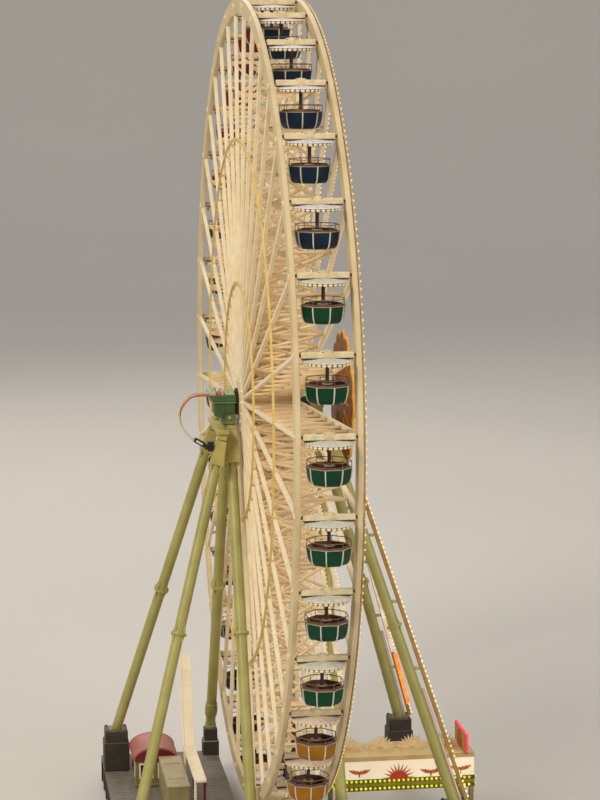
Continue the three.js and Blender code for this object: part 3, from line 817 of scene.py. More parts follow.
@dataclass
class Wheel:
    """The turning frame: rims, spoke trusses with their bracing, hoops and hub."""

    setting: Setting
    count: int = 36
    first_angle: float = 4.5
    rim_outer: float = 252.0
    rim_inner: float = 242.0
    rim_front: float = 15.4
    rim_back: float = 18.3
    rim_steps: int = 144
    ease: float = 0.35
    pin: float = 1.7
    pin_circle: float = 247.6
    spoke: float = 2.4
    brace: float = 1.25
    brace_shift: float = 0.3
    rung: float = 1.5
    root: float = 16.0
    bay: float = 25.25
    bays: int = 8
    hoops: tuple[float, ...] = (75.0, 165.0)
    hoop: float = 0.75
    drum: float = 9.0
    drum_end: float = 19.0
    flange: float = 18.0
    flange_edge: float = 0.6
    screw_circle: float = 14.5
    axle: float = 2.5
    axle_ends: Span = (-47.5, 34.0)
    clutch: float = 8.6

    @property
    def spoke_y(self) -> float:
        """Distance of the spokes from the wheel's middle plane."""
        return (self.rim_front + self.rim_back) / 2

    def angles(self) -> list[float]:
        """Angles of the trusses, one at each cabin."""
        return [self.first_angle + i * 360 / self.count for i in range(self.count)]

    def rims(self) -> None:
        """Make both rims with eased edges and a pin head at each cabin."""
        inner, outer, ease = self.rim_inner, self.rim_outer, self.ease
        for name, sign in (("rim_back", 1.0), ("rim_front", -1.0)):
            near, far = sorted((sign * self.rim_front, sign * self.rim_back))
            shape = Shape().paint(Finish.RIM)
            shape.turned([
                (inner, near + ease), (inner, far - ease), (inner + ease, far), (outer - ease, far),
                (outer, far - ease), (outer, near + ease), (outer - ease, near), (inner + ease, near),
            ], self.rim_steps, turning(Turning.Y), closed=True)
            shape.paint(Finish.SPOKE)
            for angle in self.angles():
                shape.rod(on_wheel(self.pin_circle, angle, sign * (self.rim_back - 0.2)),
                          on_wheel(self.pin_circle, angle, sign * (self.rim_back + 0.5)), self.pin, 12)
            shape.settle(name + "_band", self.setting.at_hub, "wheel", "cream_plastic", (name,))

    def _truss(self, shape: Shape, angle: float) -> None:
        """Add two spokes to a shape, with rungs and crossed braces up to where the cabins swing.

        Args:
            shape: The shape to add to.
            angle: Angle of the truss in degrees.
        """
        tangent = on_wheel(1.0, angle + 90, 0.0)
        tip = self.rim_inner + 2.0
        shape.paint(Finish.SPOKE)
        for y in (-self.spoke_y, self.spoke_y):
            shape.bar(on_wheel(self.root - 4, angle, y), on_wheel(tip, angle, y), self.spoke, self.spoke,
                      tangent, edge=0.3)
        # Rungs and braces get a deeper cream than the spokes: painted shade for the inside of the truss.
        shape.paint(Finish.BRACE_PAINTED_SHADE)
        nodes = [self.root + self.bay * (n + 1) for n in range(self.bays)]
        for radius in nodes:
            shape.bar(on_wheel(radius, angle, -self.spoke_y), on_wheel(radius, angle, self.spoke_y),
                      self.rung, self.rung, tangent)
        reach = self.spoke_y - self.spoke / 2
        for inner, outer in zip([self.root + 2] + nodes, nodes):
            for sign in (-1, 1):
                shift = tangent * (self.brace_shift * sign)
                shape.bar(on_wheel(inner, angle, -sign * reach) + shift,
                          on_wheel(outer, angle, sign * reach) + shift, self.brace, self.brace, Y_WAY)

    def trusses(self) -> None:
        """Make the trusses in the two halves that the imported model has."""
        angles, half = self.angles(), self.count // 2
        for name, own in (("spokes_upper", angles[:half]), ("spokes_lower", angles[half:])):
            shape = Shape()
            for angle in own:
                self._truss(shape, angle)
            shape.settle(name + "_trusses", self.setting.at_hub, "wheel", "cream_plastic", (name,))

    def hoop_rings(self) -> None:
        """Make the two thin hoops on the back face."""
        shape = Shape().paint(Finish.HOOP)
        y = self.spoke_y + self.spoke / 2 + 0.35
        for radius in self.hoops:
            shape.ring((radius - self.hoop, radius + self.hoop), (y - 0.7, y + 0.6), 120, turning(Turning.Y))
        shape.settle("hoops", self.setting.at_hub, "wheel", "cream_plastic")

    def hub(self) -> None:
        """Make the drum with its flanges, the axle and the black clutch disc behind it."""
        # The drum is painted a deeper golden beige than the flanges: painted shade between them.
        shape = Shape().paint(Finish.DRUM_PAINTED_SHADE)
        drum, end = self.drum, self.drum_end
        half = [(drum - 0.8, 11.5), (drum, 12), (drum, end - 0.6), (drum - 0.6, end), (0, end)]
        shape.turned([(radius, -y) for radius, y in half[::-1]] + half, 32, turning(Turning.Y))
        shape.paint(Finish.SPOKE)
        inner, outer, edge = drum - 0.2, self.flange, self.flange_edge
        for near, far in ((-self.rim_back, -self.rim_front), (self.rim_front, self.rim_back)):
            shape.turned([(inner, near), (outer - edge, near), (outer, near + edge), (outer, far - edge),
                          (outer - edge, far), (inner, far)], 48, turning(Turning.Y), closed=True)
        for y in (-self.rim_back - 0.3, self.rim_back + 0.3):
            for angle in self.angles()[::3]:
                shape.rod(on_wheel(self.screw_circle, angle, y - 0.4),
                          on_wheel(self.screw_circle, angle, y + 0.4), 0.9, 6)
        shape.paint(Finish.BLACK)
        near, far = self.axle_ends
        shape.rod((0, near, 0), (0, far, 0), self.axle, 16)
        inner, outer = self.axle - 0.1, self.clutch
        shape.turned([(inner, end), (outer - 0.4, end), (outer, end + 0.3), (outer, end + 1.2),
                      (outer - 0.4, end + 1.5), (inner, end + 1.5)], 32, turning(Turning.Y), closed=True)
        shape.settle("hub", self.setting.at_hub, "wheel", "cream_plastic", ("hub_drum",))

    def make(self) -> None:
        """Make the whole turning frame."""
        self.rims()
        self.trusses()
        self.hoop_rings()
        self.hub()


@dataclass
class WheelLights:
    """Bulbs on the show side of the wheel: round the rim and along the spokes."""

    setting: Setting
    wheel: Wheel
    strip: Span = (249.7, 251.6)
    strip_gap: float = 0.5
    strip_depth: float = 0.7
    rim_radius: float = 250.7
    rim_pitch: float = 4.3
    bulb: float = 0.75
    spoke_bulb: float = 0.58
    spoke_start: float = 24.0
    spoke_pitch: float = 3.4
    cycle: tuple[Finish, ...] = (Finish.BULB_GOLD, Finish.BULB_WARM, Finish.BULB_GOLD, Finish.BULB_AMBER)

    def rim(self) -> None:
        """Make the thin hoop that stands off the front rim, its brackets and its bulbs."""
        rim = -self.wheel.rim_back
        near, far = rim - self.strip_gap - self.strip_depth, rim - self.strip_gap
        shape = Shape().paint(Finish.STRIP)
        shape.ring(self.strip, (far, near), self.wheel.rim_steps, turning(Turning.Y))
        middle = sum(self.strip) / 2
        for angle in self.wheel.angles():
            tangent = on_wheel(1.0, angle + 90, 0.0)
            shape.bar(on_wheel(middle, angle, rim + 0.3), on_wheel(middle, angle, near + 0.2), 3.0, 1.5,
                      tangent, 0.2)
        shape.paint(Finish.BULB_RIM)
        count = round(FULL_TURN * self.rim_radius / self.rim_pitch)
        for i in range(count):
            shape.ball(on_wheel(self.rim_radius, i * 360 / count, near - 0.1), self.bulb, 2)
        shape.settle("rim_lights", self.setting.at_hub, "wheel", "sun_yellow")

    def spokes(self) -> None:
        """Make the strings of bulbs on the front spokes, each spoke in its own colour."""
        shape = Shape()
        y = -(self.wheel.spoke_y + self.wheel.spoke / 2 + 0.3)
        count = int((self.wheel.rim_inner - self.spoke_start) / self.spoke_pitch)
        for i, angle in enumerate(self.wheel.angles()):
            shape.paint(self.cycle[i % len(self.cycle)])
            for n in range(count):
                shape.ball(on_wheel(self.spoke_start + n * self.spoke_pitch, angle, y), self.spoke_bulb, 1)
        shape.settle("spoke_lights", self.setting.at_hub, "wheel", "sun_yellow")

    def make(self) -> None:
        """Make all the wheel's bulbs."""
        self.rim()
        self.spokes()


@dataclass
class SunOrnament:
    """Scalloped sunburst on the show end of the axle, in plain layers."""

    setting: Setting
    rays: int = 16
    facets: int = 8
    tip: float = 44.4
    notch: float = 37.5
    back: float = -47.7
    thickness: float = 1.6
    border: float = 2.0
    rings: tuple[float, ...] = (18.0, 31.0)
    boss: float = 16.0
    ray_bulbs: int = 5
    ray_bulb_start: float = 21.0
    ray_bulb_pitch: float = 4.4
    boss_bulbs: int = 24
    boss_bulb_circle: float = 12.8

    def _scallops(self, inset: float, y: float) -> list[Vector]:
        """Outline of rounded lobes in the wheel's plane.

        Args:
            inset: Distance inside the ornament's own edge.
            y: Place along the axle.

        Returns:
            The corners.
        """
        outline = []
        for i in range(self.rays):
            for n in range(self.facets):
                across = 2 * (n + 0.5) / self.facets - 1
                radius = self.notch + (self.tip - self.notch) * math.sqrt(1 - across * across)
                outline.append(on_wheel(radius - inset, (i + across / 2) * 360 / self.rays, y))
        return outline

    def _ribs(self, shape: Shape, y: float) -> None:
        """Add a flat rib from the middle to each lobe to a shape.

        Args:
            shape: The shape to add to.
            y: Place along the axle.
        """
        for i in range(self.rays):
            angle = i * 360 / self.rays
            shape.rod(on_wheel(self.boss - 1, angle, y), on_wheel(self.tip - 3.5, angle, y), 2.0, 4, 0.8,
                      side=Y_WAY)

    def make(self) -> None:
        """Make the yellow scalloped board, its plum back, its ribs, rings, boss and bulbs."""
        front = self.back - self.thickness
        behind = self.back + 0.3
        shape = Shape().paint(Finish.SUN_FACE)
        shape.plate(self._scallops(0.0, self.back), Vector((0, -self.thickness, 0)), 0.25)
        shape.paint(Finish.SUN_BACK)
        shape.plate(self._scallops(self.border, behind), Vector((0, -0.5, 0)))
        shape.paint(Finish.RAY)
        self._ribs(shape, front)
        self._ribs(shape, behind - 0.9)
        shape.paint(Finish.EMBER)
        for radius in self.rings:
            shape.turned([(radius - 0.9, front + 0.4), (radius + 0.9, front + 0.4),
                          (radius + 0.6, front - 0.9), (radius - 0.6, front - 0.9)], 64,
                         turning(Turning.Y), closed=True)
        shape.paint(Finish.SUN_FACE)
        shape.turned([(0, front + 0.3), (self.boss, front + 0.3), (self.boss - 0.4, front - 0.9),
                      (12, front - 2.2), (7, front - 2.9), (0, front - 3)], 48, turning(Turning.Y))
        shape.settle("sun_ornament_board", self.setting.at_hub, "wheel", "sun_yellow", ("sun_ornament",))
        lights = Shape().paint(Finish.BULB_GOLD)
        for i in range(self.rays):
            for n in range(self.ray_bulbs):
                radius = self.ray_bulb_start + self.ray_bulb_pitch * n
                lights.ball(on_wheel(radius, (i + 0.5) * 360 / self.rays, front - 0.3), 0.7, 1)
        for i in range(self.boss_bulbs):
            lights.ball(on_wheel(self.boss_bulb_circle, i * 360 / self.boss_bulbs, front - 2.0), 0.6, 1)
        lights.settle("sun_ornament_lights", self.setting.at_hub, "wheel", "sun_yellow")


@dataclass
class Cabins:
    """The hanging cabins: bar with crest, flat canopy, pole, seats and eight-sided tub."""

    setting: Setting
    bar: Place = (1.5, 14.3, 1.75)
    medallion: float = 2.1
    canopy: float = 13.4
    canopy_steps: int = 56
    scallops: int = 28
    ribs: int = 16
    rim: float = 12.4
    top: float = -16.0
    bottom: float = -25.5
    rail_rise: float = 3.6
    wire: float = 0.19
    rib: float = 0.62
    skin: float = 0.8
    sides: int = 8
    seed: int = 7
    wall: Profile = field(default_factory=lambda: [
        (8.4, -25.5), (9.9, -25.0), (10.9, -23.9), (11.5, -22.2), (11.95, -19.6), (12.35, -16.0),
    ])

    def _out(self, i: int, count: int) -> Vector:
        """Level direction of one of a count of even steps about the cabin."""
        turn = i * FULL_TURN / count
        return Vector((math.cos(turn), math.sin(turn), 0))

    def hanger(self) -> Shape:
        """Shape of the slab-like hanging bar with its crest, medallion and end pins.

        Returns:
            The shape.
        """
        thick, half, high = self.bar
        shape = Shape().paint(Finish.BAR)
        shape.block((-thick, -half, -high), (thick, half, high), 0.5)
        crest = ((0, 1.15, 1.8), (-1.8, 1.5, 1.1), (1.8, 1.5, 1.1), (-2.9, 1.3, 0.8), (2.9, 1.3, 0.8))
        for y, z, radius in crest:
            shape.rod((-1.3, y, z), (1.3, y, z), radius, 14)
        shape.rod((-thick - 0.25, 0, 0.5), (thick + 0.25, 0, 0.5), self.medallion, 18)
        shape.rod((-thick - 0.5, 0, 0.5), (thick + 0.5, 0, 0.5), self.medallion - 0.9, 14)
        shape.paint(Finish.SHADOW)
        shape.block((-thick + 0.1, -half + 0.3, -high - 0.35), (thick - 0.1, half - 0.3, -high + 0.2))
        shape.paint(Finish.DARK_WOOD)
        for sign in (-1, 1):
            shape.rod((0, sign * (half - 0.2), 0), (0, sign * (half + 0.95), 0), 0.9, 8)
        return shape

    def roof(self, cloth: Finish) -> Shape:
        """Shape of the canopy with its ribs, rim band and scalloped valance.

        Args:
            cloth: Finish of the canopy's top.

        Returns:
            The shape.
        """
        radius = self.canopy
        shape = Shape().paint(cloth)
        shape.turned([(0, -1.5), (5, -1.8), (9.5, -2.25), (radius - 0.5, -2.7), (radius, -2.95),
                      (radius, -3.3), (0, -3.4)], self.canopy_steps, turning(Turning.Z))
        shape.paint(Finish.RIB)
        runs = (((2.0, -1.65), (9.5, -2.25)), ((9.3, -2.25), (radius - 0.2, -2.85)))
        for i in range(self.ribs):
            out = self._out(2 * i + 1, 2 * self.ribs)
            side = out.cross(UP)
            for (r0, z0), (r1, z1) in runs:
                shape.bar(out * r0 + UP * z0, out * r1 + UP * z1, 0.5, 0.35, side)
        shape.paint(Finish.SHADOW)
        shape.turned([(0, -3.3), (radius - 0.8, -3.2), (radius - 0.8, -4.9), (radius - 1.3, -4.9),
                      (radius - 1.6, -3.8), (0, -3.8)], self.canopy_steps, turning(Turning.Z))
        shape.paint(Finish.VALANCE)
        lump = Shape().paint(Finish.VALANCE).ball((0, 0, 0), 1.0, 2, (0.55, 1.26, 0.85))
        for i in range(self.scallops):
            out = self._out(2 * i + 1, 2 * self.scallops)
            shape.put(lump, stood(out * (radius - 0.6) - UP * 4.15, UP, out))
        return shape

    def tub(self, skin: Finish) -> Shape:
        """Shape of the tub's walls with ribs, rim line, seats and floor.

        Args:
            skin: Finish of the panels.

        Returns:
            The shape.
        """
        shape = Shape().paint(skin)
        floor = self.bottom + self.skin
        inner = [(radius - self.skin, max(z, floor)) for radius, z in self.wall[::-1]]
        profile = [(0, self.bottom), *self.wall, *inner, (0, floor)]
        shape.turned(profile, self.sides, turning(Turning.Z))
        shape.paint(Finish.RIB)
        for i in range(self.sides):
            out = self._out(i, self.sides)
            side = out.cross(UP)
            for (r0, z0), (r1, z1) in zip(self.wall, self.wall[1:]):
                shape.bar(out * (r0 + 0.05) + UP * z0, out * (r1 + 0.05) + UP * z1, self.rib, 0.45, side)
        shape.paint(Finish.TRIM)
        shape.ring((self.rim - 0.95, self.rim + 0.15), (self.top - 0.2, self.top + 0.2), self.sides,
                   turning(Turning.Z))
        shape.paint(Finish.SEAT)
        shape.turned([(6.2, -24.4), (6.2, -20.0), (10.0, -20.0), (10.3, -15.0), (10.9, -15.0), (10.9, -18.0),
                      (10.2, -23.2)], self.sides, turning(Turning.Z), closed=True)
        return shape

    def fittings(self) -> Shape:
        """Shape of the pole, table and wire rail.

        Returns:
            The shape.
        """
        shape = Shape().paint(Finish.DARK_WOOD)
        shape.turned([(0, -3.6), (1.6, -3.7), (1.1, -4.8), (1.0, -8), (1.0, -13.6), (1.4, -15.5), (1.9, -19),
                      (2.2, -24.6), (0, -24.6)], 12, turning(Turning.Z))
        shape.paint(Finish.TABLE)
        shape.turned([(0, -15.7), (2.9, -15.7), (3.1, -15.4), (2.9, -15.1), (0, -15.1)], 20,
                     turning(Turning.Z))
        shape.paint(Finish.WIRE)
        radius, height, wire = self.rim - 0.3, self.top + self.rail_rise, self.wire
        shape.ring((radius - wire, radius + wire), (height - wire, height + wire), self.sides,
                   turning(Turning.Z))
        for i in range(self.sides):
            out = self._out(i, self.sides) * radius
            shape.rod(out + UP * self.top, out + UP * height, wire, 6)
        return shape

    def make(self) -> None:
        """Make every cabin from the same shapes, each tub and canopy turned its own way."""
        turns = random.Random(self.seed)
        hanger, fittings = self.hanger(), self.fittings()
        roofs, tubs = {}, {}
        for slot, (skin, cloth) in CANOPY_OF_SLOT.items():
            roofs[slot], tubs[slot] = self.roof(cloth), self.tub(skin)
        for i, pivot in enumerate(self.setting.pivots):
            name = f"cabin_{i + 1:02d}"
            slot = self.setting.slots[name]
            twist = Matrix.Rotation(turns.uniform(0, FULL_TURN), 4, "Z")
            place, still = Matrix.Translation(pivot), Matrix.Identity(4)
            upper = Shape().put(hanger, still).put(roofs[slot], twist).put(fittings, twist)
            upper.settle(name + "_canopy", place, name, "cream_plastic")
            tub = Shape().put(tubs[slot], twist)
            tub.settle(name + "_tub", place, name, slot, (name,))


@dataclass(frozen=True)
class LegLine:
    """Centre line of a leg: at a drop h it lies at x = x0 + dx h on its own side, and at y = y0 + dy h."""

    x0: float
    dx: float
    y0: float
    dy: float
    foot: float
    level: float = 0.0
    sign: int = 1

    def on(self, sign: int) -> "LegLine":
        """Same line on the near side, -1, or on the far side, 1."""
        return replace(self, sign=sign)

    def at(self, drop: float) -> Vector:
        """Point of the leg at a drop below the axle."""
        return Vector((self.sign * (self.x0 + self.dx * drop), self.y0 + self.dy * drop, -drop))

    def place(self, drop: float) -> Matrix:
        """Place on the leg at a drop below the axle, with its Z down the leg."""
        return stood(self.at(drop), self.at(1) - self.at(0), X_WAY)


@dataclass
class Legs:
    """Eight legs with sockets and collars, ankles on the main ones and foot blocks under the outriggers."""

    setting: Setting
    radius: float = 3.4
    socket_start: float = 16.0
    socket_end: float = 37.0
    collar: float = 134.5
    ankle_rise: float = 15.0
    block: float = 17.0
    block_step: float = 8.0
    bolt_inset: float = 2.2
    gusset: Profile = field(default_factory=lambda: [
        (3.1, 0.7), (4.75, 0.7), (4.55, 1.6), (3.75, 4.8), (4.1, 5.6), (3.1, 5.6),
    ])
    lines: dict[str, LegLine] = field(default_factory=lambda: {
        "rear_main": LegLine(1.25, 0.467, 25.0, 0.0, 248.0),
        "rear_outrigger": LegLine(16.75, 0.318, 26.25, 0.275, 240.0, 18.3),
        "front_main": LegLine(1.25, 0.467, -30.5, 0.0, 248.0),
        "front_outrigger": LegLine(16.75, 0.318, -30.5, -0.306, 240.0),
    })

    def _square(self, shape: Shape, start: Vector, end: Vector, half: float, end_half: float) -> None:
        """Add a square bar that widens from one half width to another to a shape."""
        corner = math.sqrt(2)
        shape.rod(start, end, half * corner, 4, end_half * corner, twist=45)

    @staticmethod
    def _corners() -> list[Vector]:
        """Level directions of the four corners of a square."""
        turns = [math.radians(45 + 90 * i) for i in range(4)]
        return [Vector((math.cos(turn), math.sin(turn), 0)) for turn in turns]

    def _fins(self, shape: Shape, line: LegLine, half: float) -> None:
        """Add the four small fins that run from a socket's corners down the tube to a shape.

        Args:
            shape: The shape to add to.
            line: The leg's centre line.
            half: Half of the socket's width.
        """
        place = line.place(self.socket_end)
        for out in self._corners():
            shape.rod(place @ (out * half * 1.25 - UP * 1.2), place @ (out * self.radius + UP * 3.8), 1.1, 4,
                      0.3)

    def _main_socket(self, shape: Shape, line: LegLine) -> None:
        """Add the tapered square socket of a main leg to a shape.

        Args:
            shape: The shape to add to.
            line: The leg's centre line.
        """
        end = self.socket_end
        shape.paint(Finish.SOCKET)
        self._square(shape, line.at(self.socket_start), line.at(end - 1.2), 3.95, 4.6)
        self._square(shape, line.at(end - 1.6), line.at(end), 4.72, 4.72)
        self._fins(shape, line, 4.3)

    def _outer_socket(self, shape: Shape, line: LegLine) -> None:
        """Add the stepped and flared socket of an outrigger to a shape.

        Args:
            shape: The shape to add to.
            line: The leg's centre line.
        """
        end = self.socket_end - 1.0
        shape.paint(Finish.SOCKET)
        self._square(shape, line.at(16.2), line.at(21.0), 2.5, 2.6)
        self._square(shape, line.at(21.6), line.at(end - 1.2), 2.9, 3.9)
        self._square(shape, line.at(end - 1.6), line.at(end), 4.05, 4.05)
        self._fins(shape, line, 3.8)
        # The narrow neck between the two boxes is painted a deeper olive: painted shade in the groove of the
        # step.
        shape.paint(Finish.OLIVE_DEEP)
        self._square(shape, line.at(20.8), line.at(21.8), 2.3, 2.3)

    def _collar(self, shape: Shape, line: LegLine) -> None:
        """Add the flanged collar with its gussets to a shape.

        Args:
            shape: The shape to add to.
            line: The leg's centre line.
        """
        place = line.place(self.collar)
        half = [(4.9, 0.8), (3.8, 0.9), (3.8, 1.9), (3.2, 1.9)]
        shape.turned([(radius, -height) for radius, height in half[::-1]] + half, 24, place, closed=True)
        turned = place.to_3x3()
        for out in self._corners():
            side = UP.cross(out)
            for way in (-1, 1):
                outline = [out * radius + UP * (way * height) - side * 0.4 for radius, height in self.gusset]
                shape.plate([place @ corner for corner in outline], turned @ (side * 0.8))

    def _ankle(self, shape: Shape, line: LegLine) -> None:
        """Add the barrel ankle and the ring below it to a shape."""
        shape.turned([(3.2, -5.8), (3.8, -5.4), (4.1, -3.4), (4.4, 0.0), (4.3, 3.2), (3.9, 5.4), (3.2, 5.8)],
                     20, line.place(line.foot - self.ankle_rise), closed=True)
        shape.turned([(3.0, -3.4), (3.9, -3.0), (3.9, -0.2), (3.0, -0.2)], 20,
                     line.place(line.foot), closed=True)

    def _foot_block(self, shape: Shape, line: LegLine) -> None:
        """Add the stepped block that an outrigger stands in to a shape.

        Args:
            shape: The shape to add to.
            line: The leg's centre line.
        """
        foot = line.at(line.foot)
        half = self.block / 2
        ground = line.level - self.setting.hub.z / MM
        top = -line.foot + 1
        shape.paint(Finish.BLOCK)
        step, upper = top - self.block_step, half - 0.9
        shape.block((foot.x - half, foot.y - half, ground), (foot.x + half, foot.y + half, step), 0.5)
        shape.block((foot.x - upper, foot.y - upper, step - 0.4), (foot.x + upper, foot.y + upper, top), 0.5)
        inset = half - self.bolt_inset
        for x in (foot.x - inset, foot.x + inset):
            for y in (foot.y - inset, foot.y + inset):
                shape.rod((x, y, top - 0.2), (x, y, top + 0.7), 0.8, 6)
        shape.paint(Finish.OLIVE_DEEP)
        shape.block((foot.x - 5, foot.y - 5, top - 0.2), (foot.x + 5, foot.y + 5, top + 0.7), 0.2)

    def leg(self, name: str, line: LegLine) -> None:
        """Make one leg.

        Args:
            name: Name of its line.
            line: Its centre line.
        """
        shape = Shape().paint(Finish.OLIVE)
        shape.rod(line.at(self.socket_end - 4), line.at(line.foot - 0.4), self.radius, 24)
        self._collar(shape, line)
        if name.endswith("outrigger"):
            self._outer_socket(shape, line)
            self._foot_block(shape, line)
        else:
            self._ankle(shape, line)
            self._main_socket(shape, line)
        node = f"leg_{name}_{'near' if line.sign < 0 else 'far'}"
        shape.settle(node + "_tube", self.setting.at_hub, "frame", "olive_plastic", (node,))

    def make(self) -> None:
        """Make the eight legs."""
        for name, line in self.lines.items():
            for sign in (-1, 1):
                self.leg(name, line.on(sign))


@dataclass
class LightRails:
    """Rails of bulbs and a pale strip that stand off the front outriggers on brackets."""

    setting: Setting
    legs: Legs
    offset: float = 8.0
    width: float = 2.4
    depth: float = 2.3
    strip_offset: float = 4.5
    strip_start: float = 172.0
    top: float = 54.0
    bottom: float = 238.0
    glow_end: float = 228.5
    glow_start: float = 189.0
    glow_shift: float = 1.2
    pitch: float = 3.2
    bulb: float = 0.8
    brackets: tuple[float, ...] = (80.0, 120.0, 160.0, 200.0)

    def _run(self, shape: Shape, line: LegLine, drops: Span, shift: Vector, size: Span,
             edge: float = 0.0) -> None:
        """Add a bar beside an outrigger to a shape.

        Args:
            shape: The shape.
            line: The leg's centre line.
            drops: Where it starts and ends, as drops below the axle.
            shift: Its place from the leg's centre line.
            size: Its width along x and its depth.
            edge: Width of its eased edges.
        """
        start, end = (line.at(drop) + shift for drop in drops)
        shape.bar(start, end, *size, X_WAY, edge)

    def _rail(self, line: LegLine) -> Shape:
        """Shape of a rail with its lit inner face, pale strip and brackets; the far one ends in orange.

        Args:
            line: The centre line of its leg.

        Returns:
            The shape.
        """
        shape = Shape().paint(Finish.RAIL)
        band = Y_WAY * -self.offset
        self._run(shape, line, (self.top, self.bottom), band, (self.width, self.depth), 0.25)
        lower = (self.strip_start, self.bottom)
        for edge in (-0.6, 0.6):
            self._run(shape, line, lower, Y_WAY * (edge - self.strip_offset), (1.3, 0.35))
        shape.paint(Finish.LAVENDER)
        self._run(shape, line, lower, Y_WAY * -self.strip_offset, (1.5, 0.9))
        inner = band - X_WAY * (line.sign * (self.width / 2 + 0.1))
        shape.paint(Finish.GLOW_WHITE)
        self._run(shape, line, (self.top, self.glow_start - 1), inner, (0.4, self.depth - 0.3))
        if line.sign > 0:
            shape.paint(Finish.GLOW_ORANGE)
            self._run(shape, line, (self.glow_start, self.glow_end), inner - Y_WAY * self.glow_shift,
                      (0.6, self.depth + 0.3))
        shape.paint(Finish.BRACKET)
        half_clamp = Vector((1.2, 1.3, 0.9))
        for drop in self.brackets:
            start = line.at(drop)
            shape.rod(start, start + band, 0.8, 8)
            clamp = start + band * 0.62
            shape.block(clamp - half_clamp, clamp + half_clamp, 0.3)
        return shape

    def make(self) -> None:
        """Make both rails and their bulbs."""
        for sign, name in ((-1, "near"), (1, "far")):
            line = self.legs.lines["front_outrigger"].on(sign)
            self._rail(line).settle(f"light_rail_{name}", self.setting.at_hub, "frame", "cream_plastic")
            start, end = line.at(self.top), line.at(self.bottom)
            out = (end - start).cross(X_WAY).normalized()
            out = -out if out.y > 0 else out
            shift = Y_WAY * -self.offset + out * (self.depth / 2 + 0.35)
            lights = Shape().paint(Finish.BULB_WARM)
            count = int((end - start).length / self.pitch)
            for i in range(count):
                lights.ball(start.lerp(end, (i + 0.5) / count) + shift, self.bulb, 2)
            lights.settle(f"light_rail_bulbs_{name}", self.setting.at_hub, "frame", "sun_yellow")


@dataclass
class Heads:
    """The plates that join the legs at the axle, with the bearing on the show side."""

    setting: Setting
    top: float = -14.2
    bottom: float = -17.0
    main: float = 13.5
    outer: float = 26.3
    rear: tuple[Span, Span] = ((20.9, 29.1), (27.0, 35.0))
    front: tuple[Span, Span] = ((-34.6, -26.4), (-39.6, -31.6))
    ears: tuple[float, ...] = (-21.5, -15.5, 15.5, 21.5)
    bearing: float = 7.0
    bolt_x: float = 5.0
    bolt_z: Span = (-11.5, -3.5)

    def _arms(self, shape: Shape, main: Span, outer: Span) -> None:
        """Add the arm over the main legs, the one over the outriggers, and their bolted ears to a shape.

        Args:
            shape: The shape.
            main: Lowest and highest y of the arm over the main legs.
            outer: Lowest and highest y of the arm over the outriggers.
        """
        shape.paint(Finish.SOCKET)
        shape.block((-self.main, main[0], self.bottom - 1.6), (self.main, main[1], self.top), 0.35)
        shape.block((-self.outer, outer[0], self.bottom), (self.outer, outer[1], self.top), 0.35)
        middle = sum(outer) / 2
        shape.paint(Finish.OLIVE)
        for x in self.ears:
            shape.rod((x, middle, self.top - 0.3), (x, middle, self.top + 1.4), 2.2, 16)
            shape.rod((x, middle, self.top + 1.2), (x, middle, self.top + 2.2), 1.1, 6)

    def make(self) -> None:
        """Make both heads."""
        shape = Shape()
        self._arms(shape, *self.rear)
        shape.settle("head_rear_plate", self.setting.at_hub, "frame", "olive_plastic", ("head_rear",))
        shape = Shape()
        self._arms(shape, *self.front)
        half, (near, far) = self.bearing, self.front[0]
        shape.paint(Finish.SOCKET)
        shape.block((-half, near, self.top - 0.2), (half, far, 0), 0.4)
        shape.turned([(2.9, near), (half - 0.2, near), (half, near + 0.4), (half, far - 0.4),
                      (half - 0.2, far), (2.9, far)], 28, turning(Turning.Y), closed=True)
        shape.paint(Finish.OLIVE_DEEP)
        for x in (-self.bolt_x, self.bolt_x):
            for z in self.bolt_z:
                shape.rod((x, near - 0.6, z), (x, far + 0.6, z), 0.9, 6)
        shape.settle("head_front_plate", self.setting.at_hub, "frame", "olive_plastic", ("head_front",))


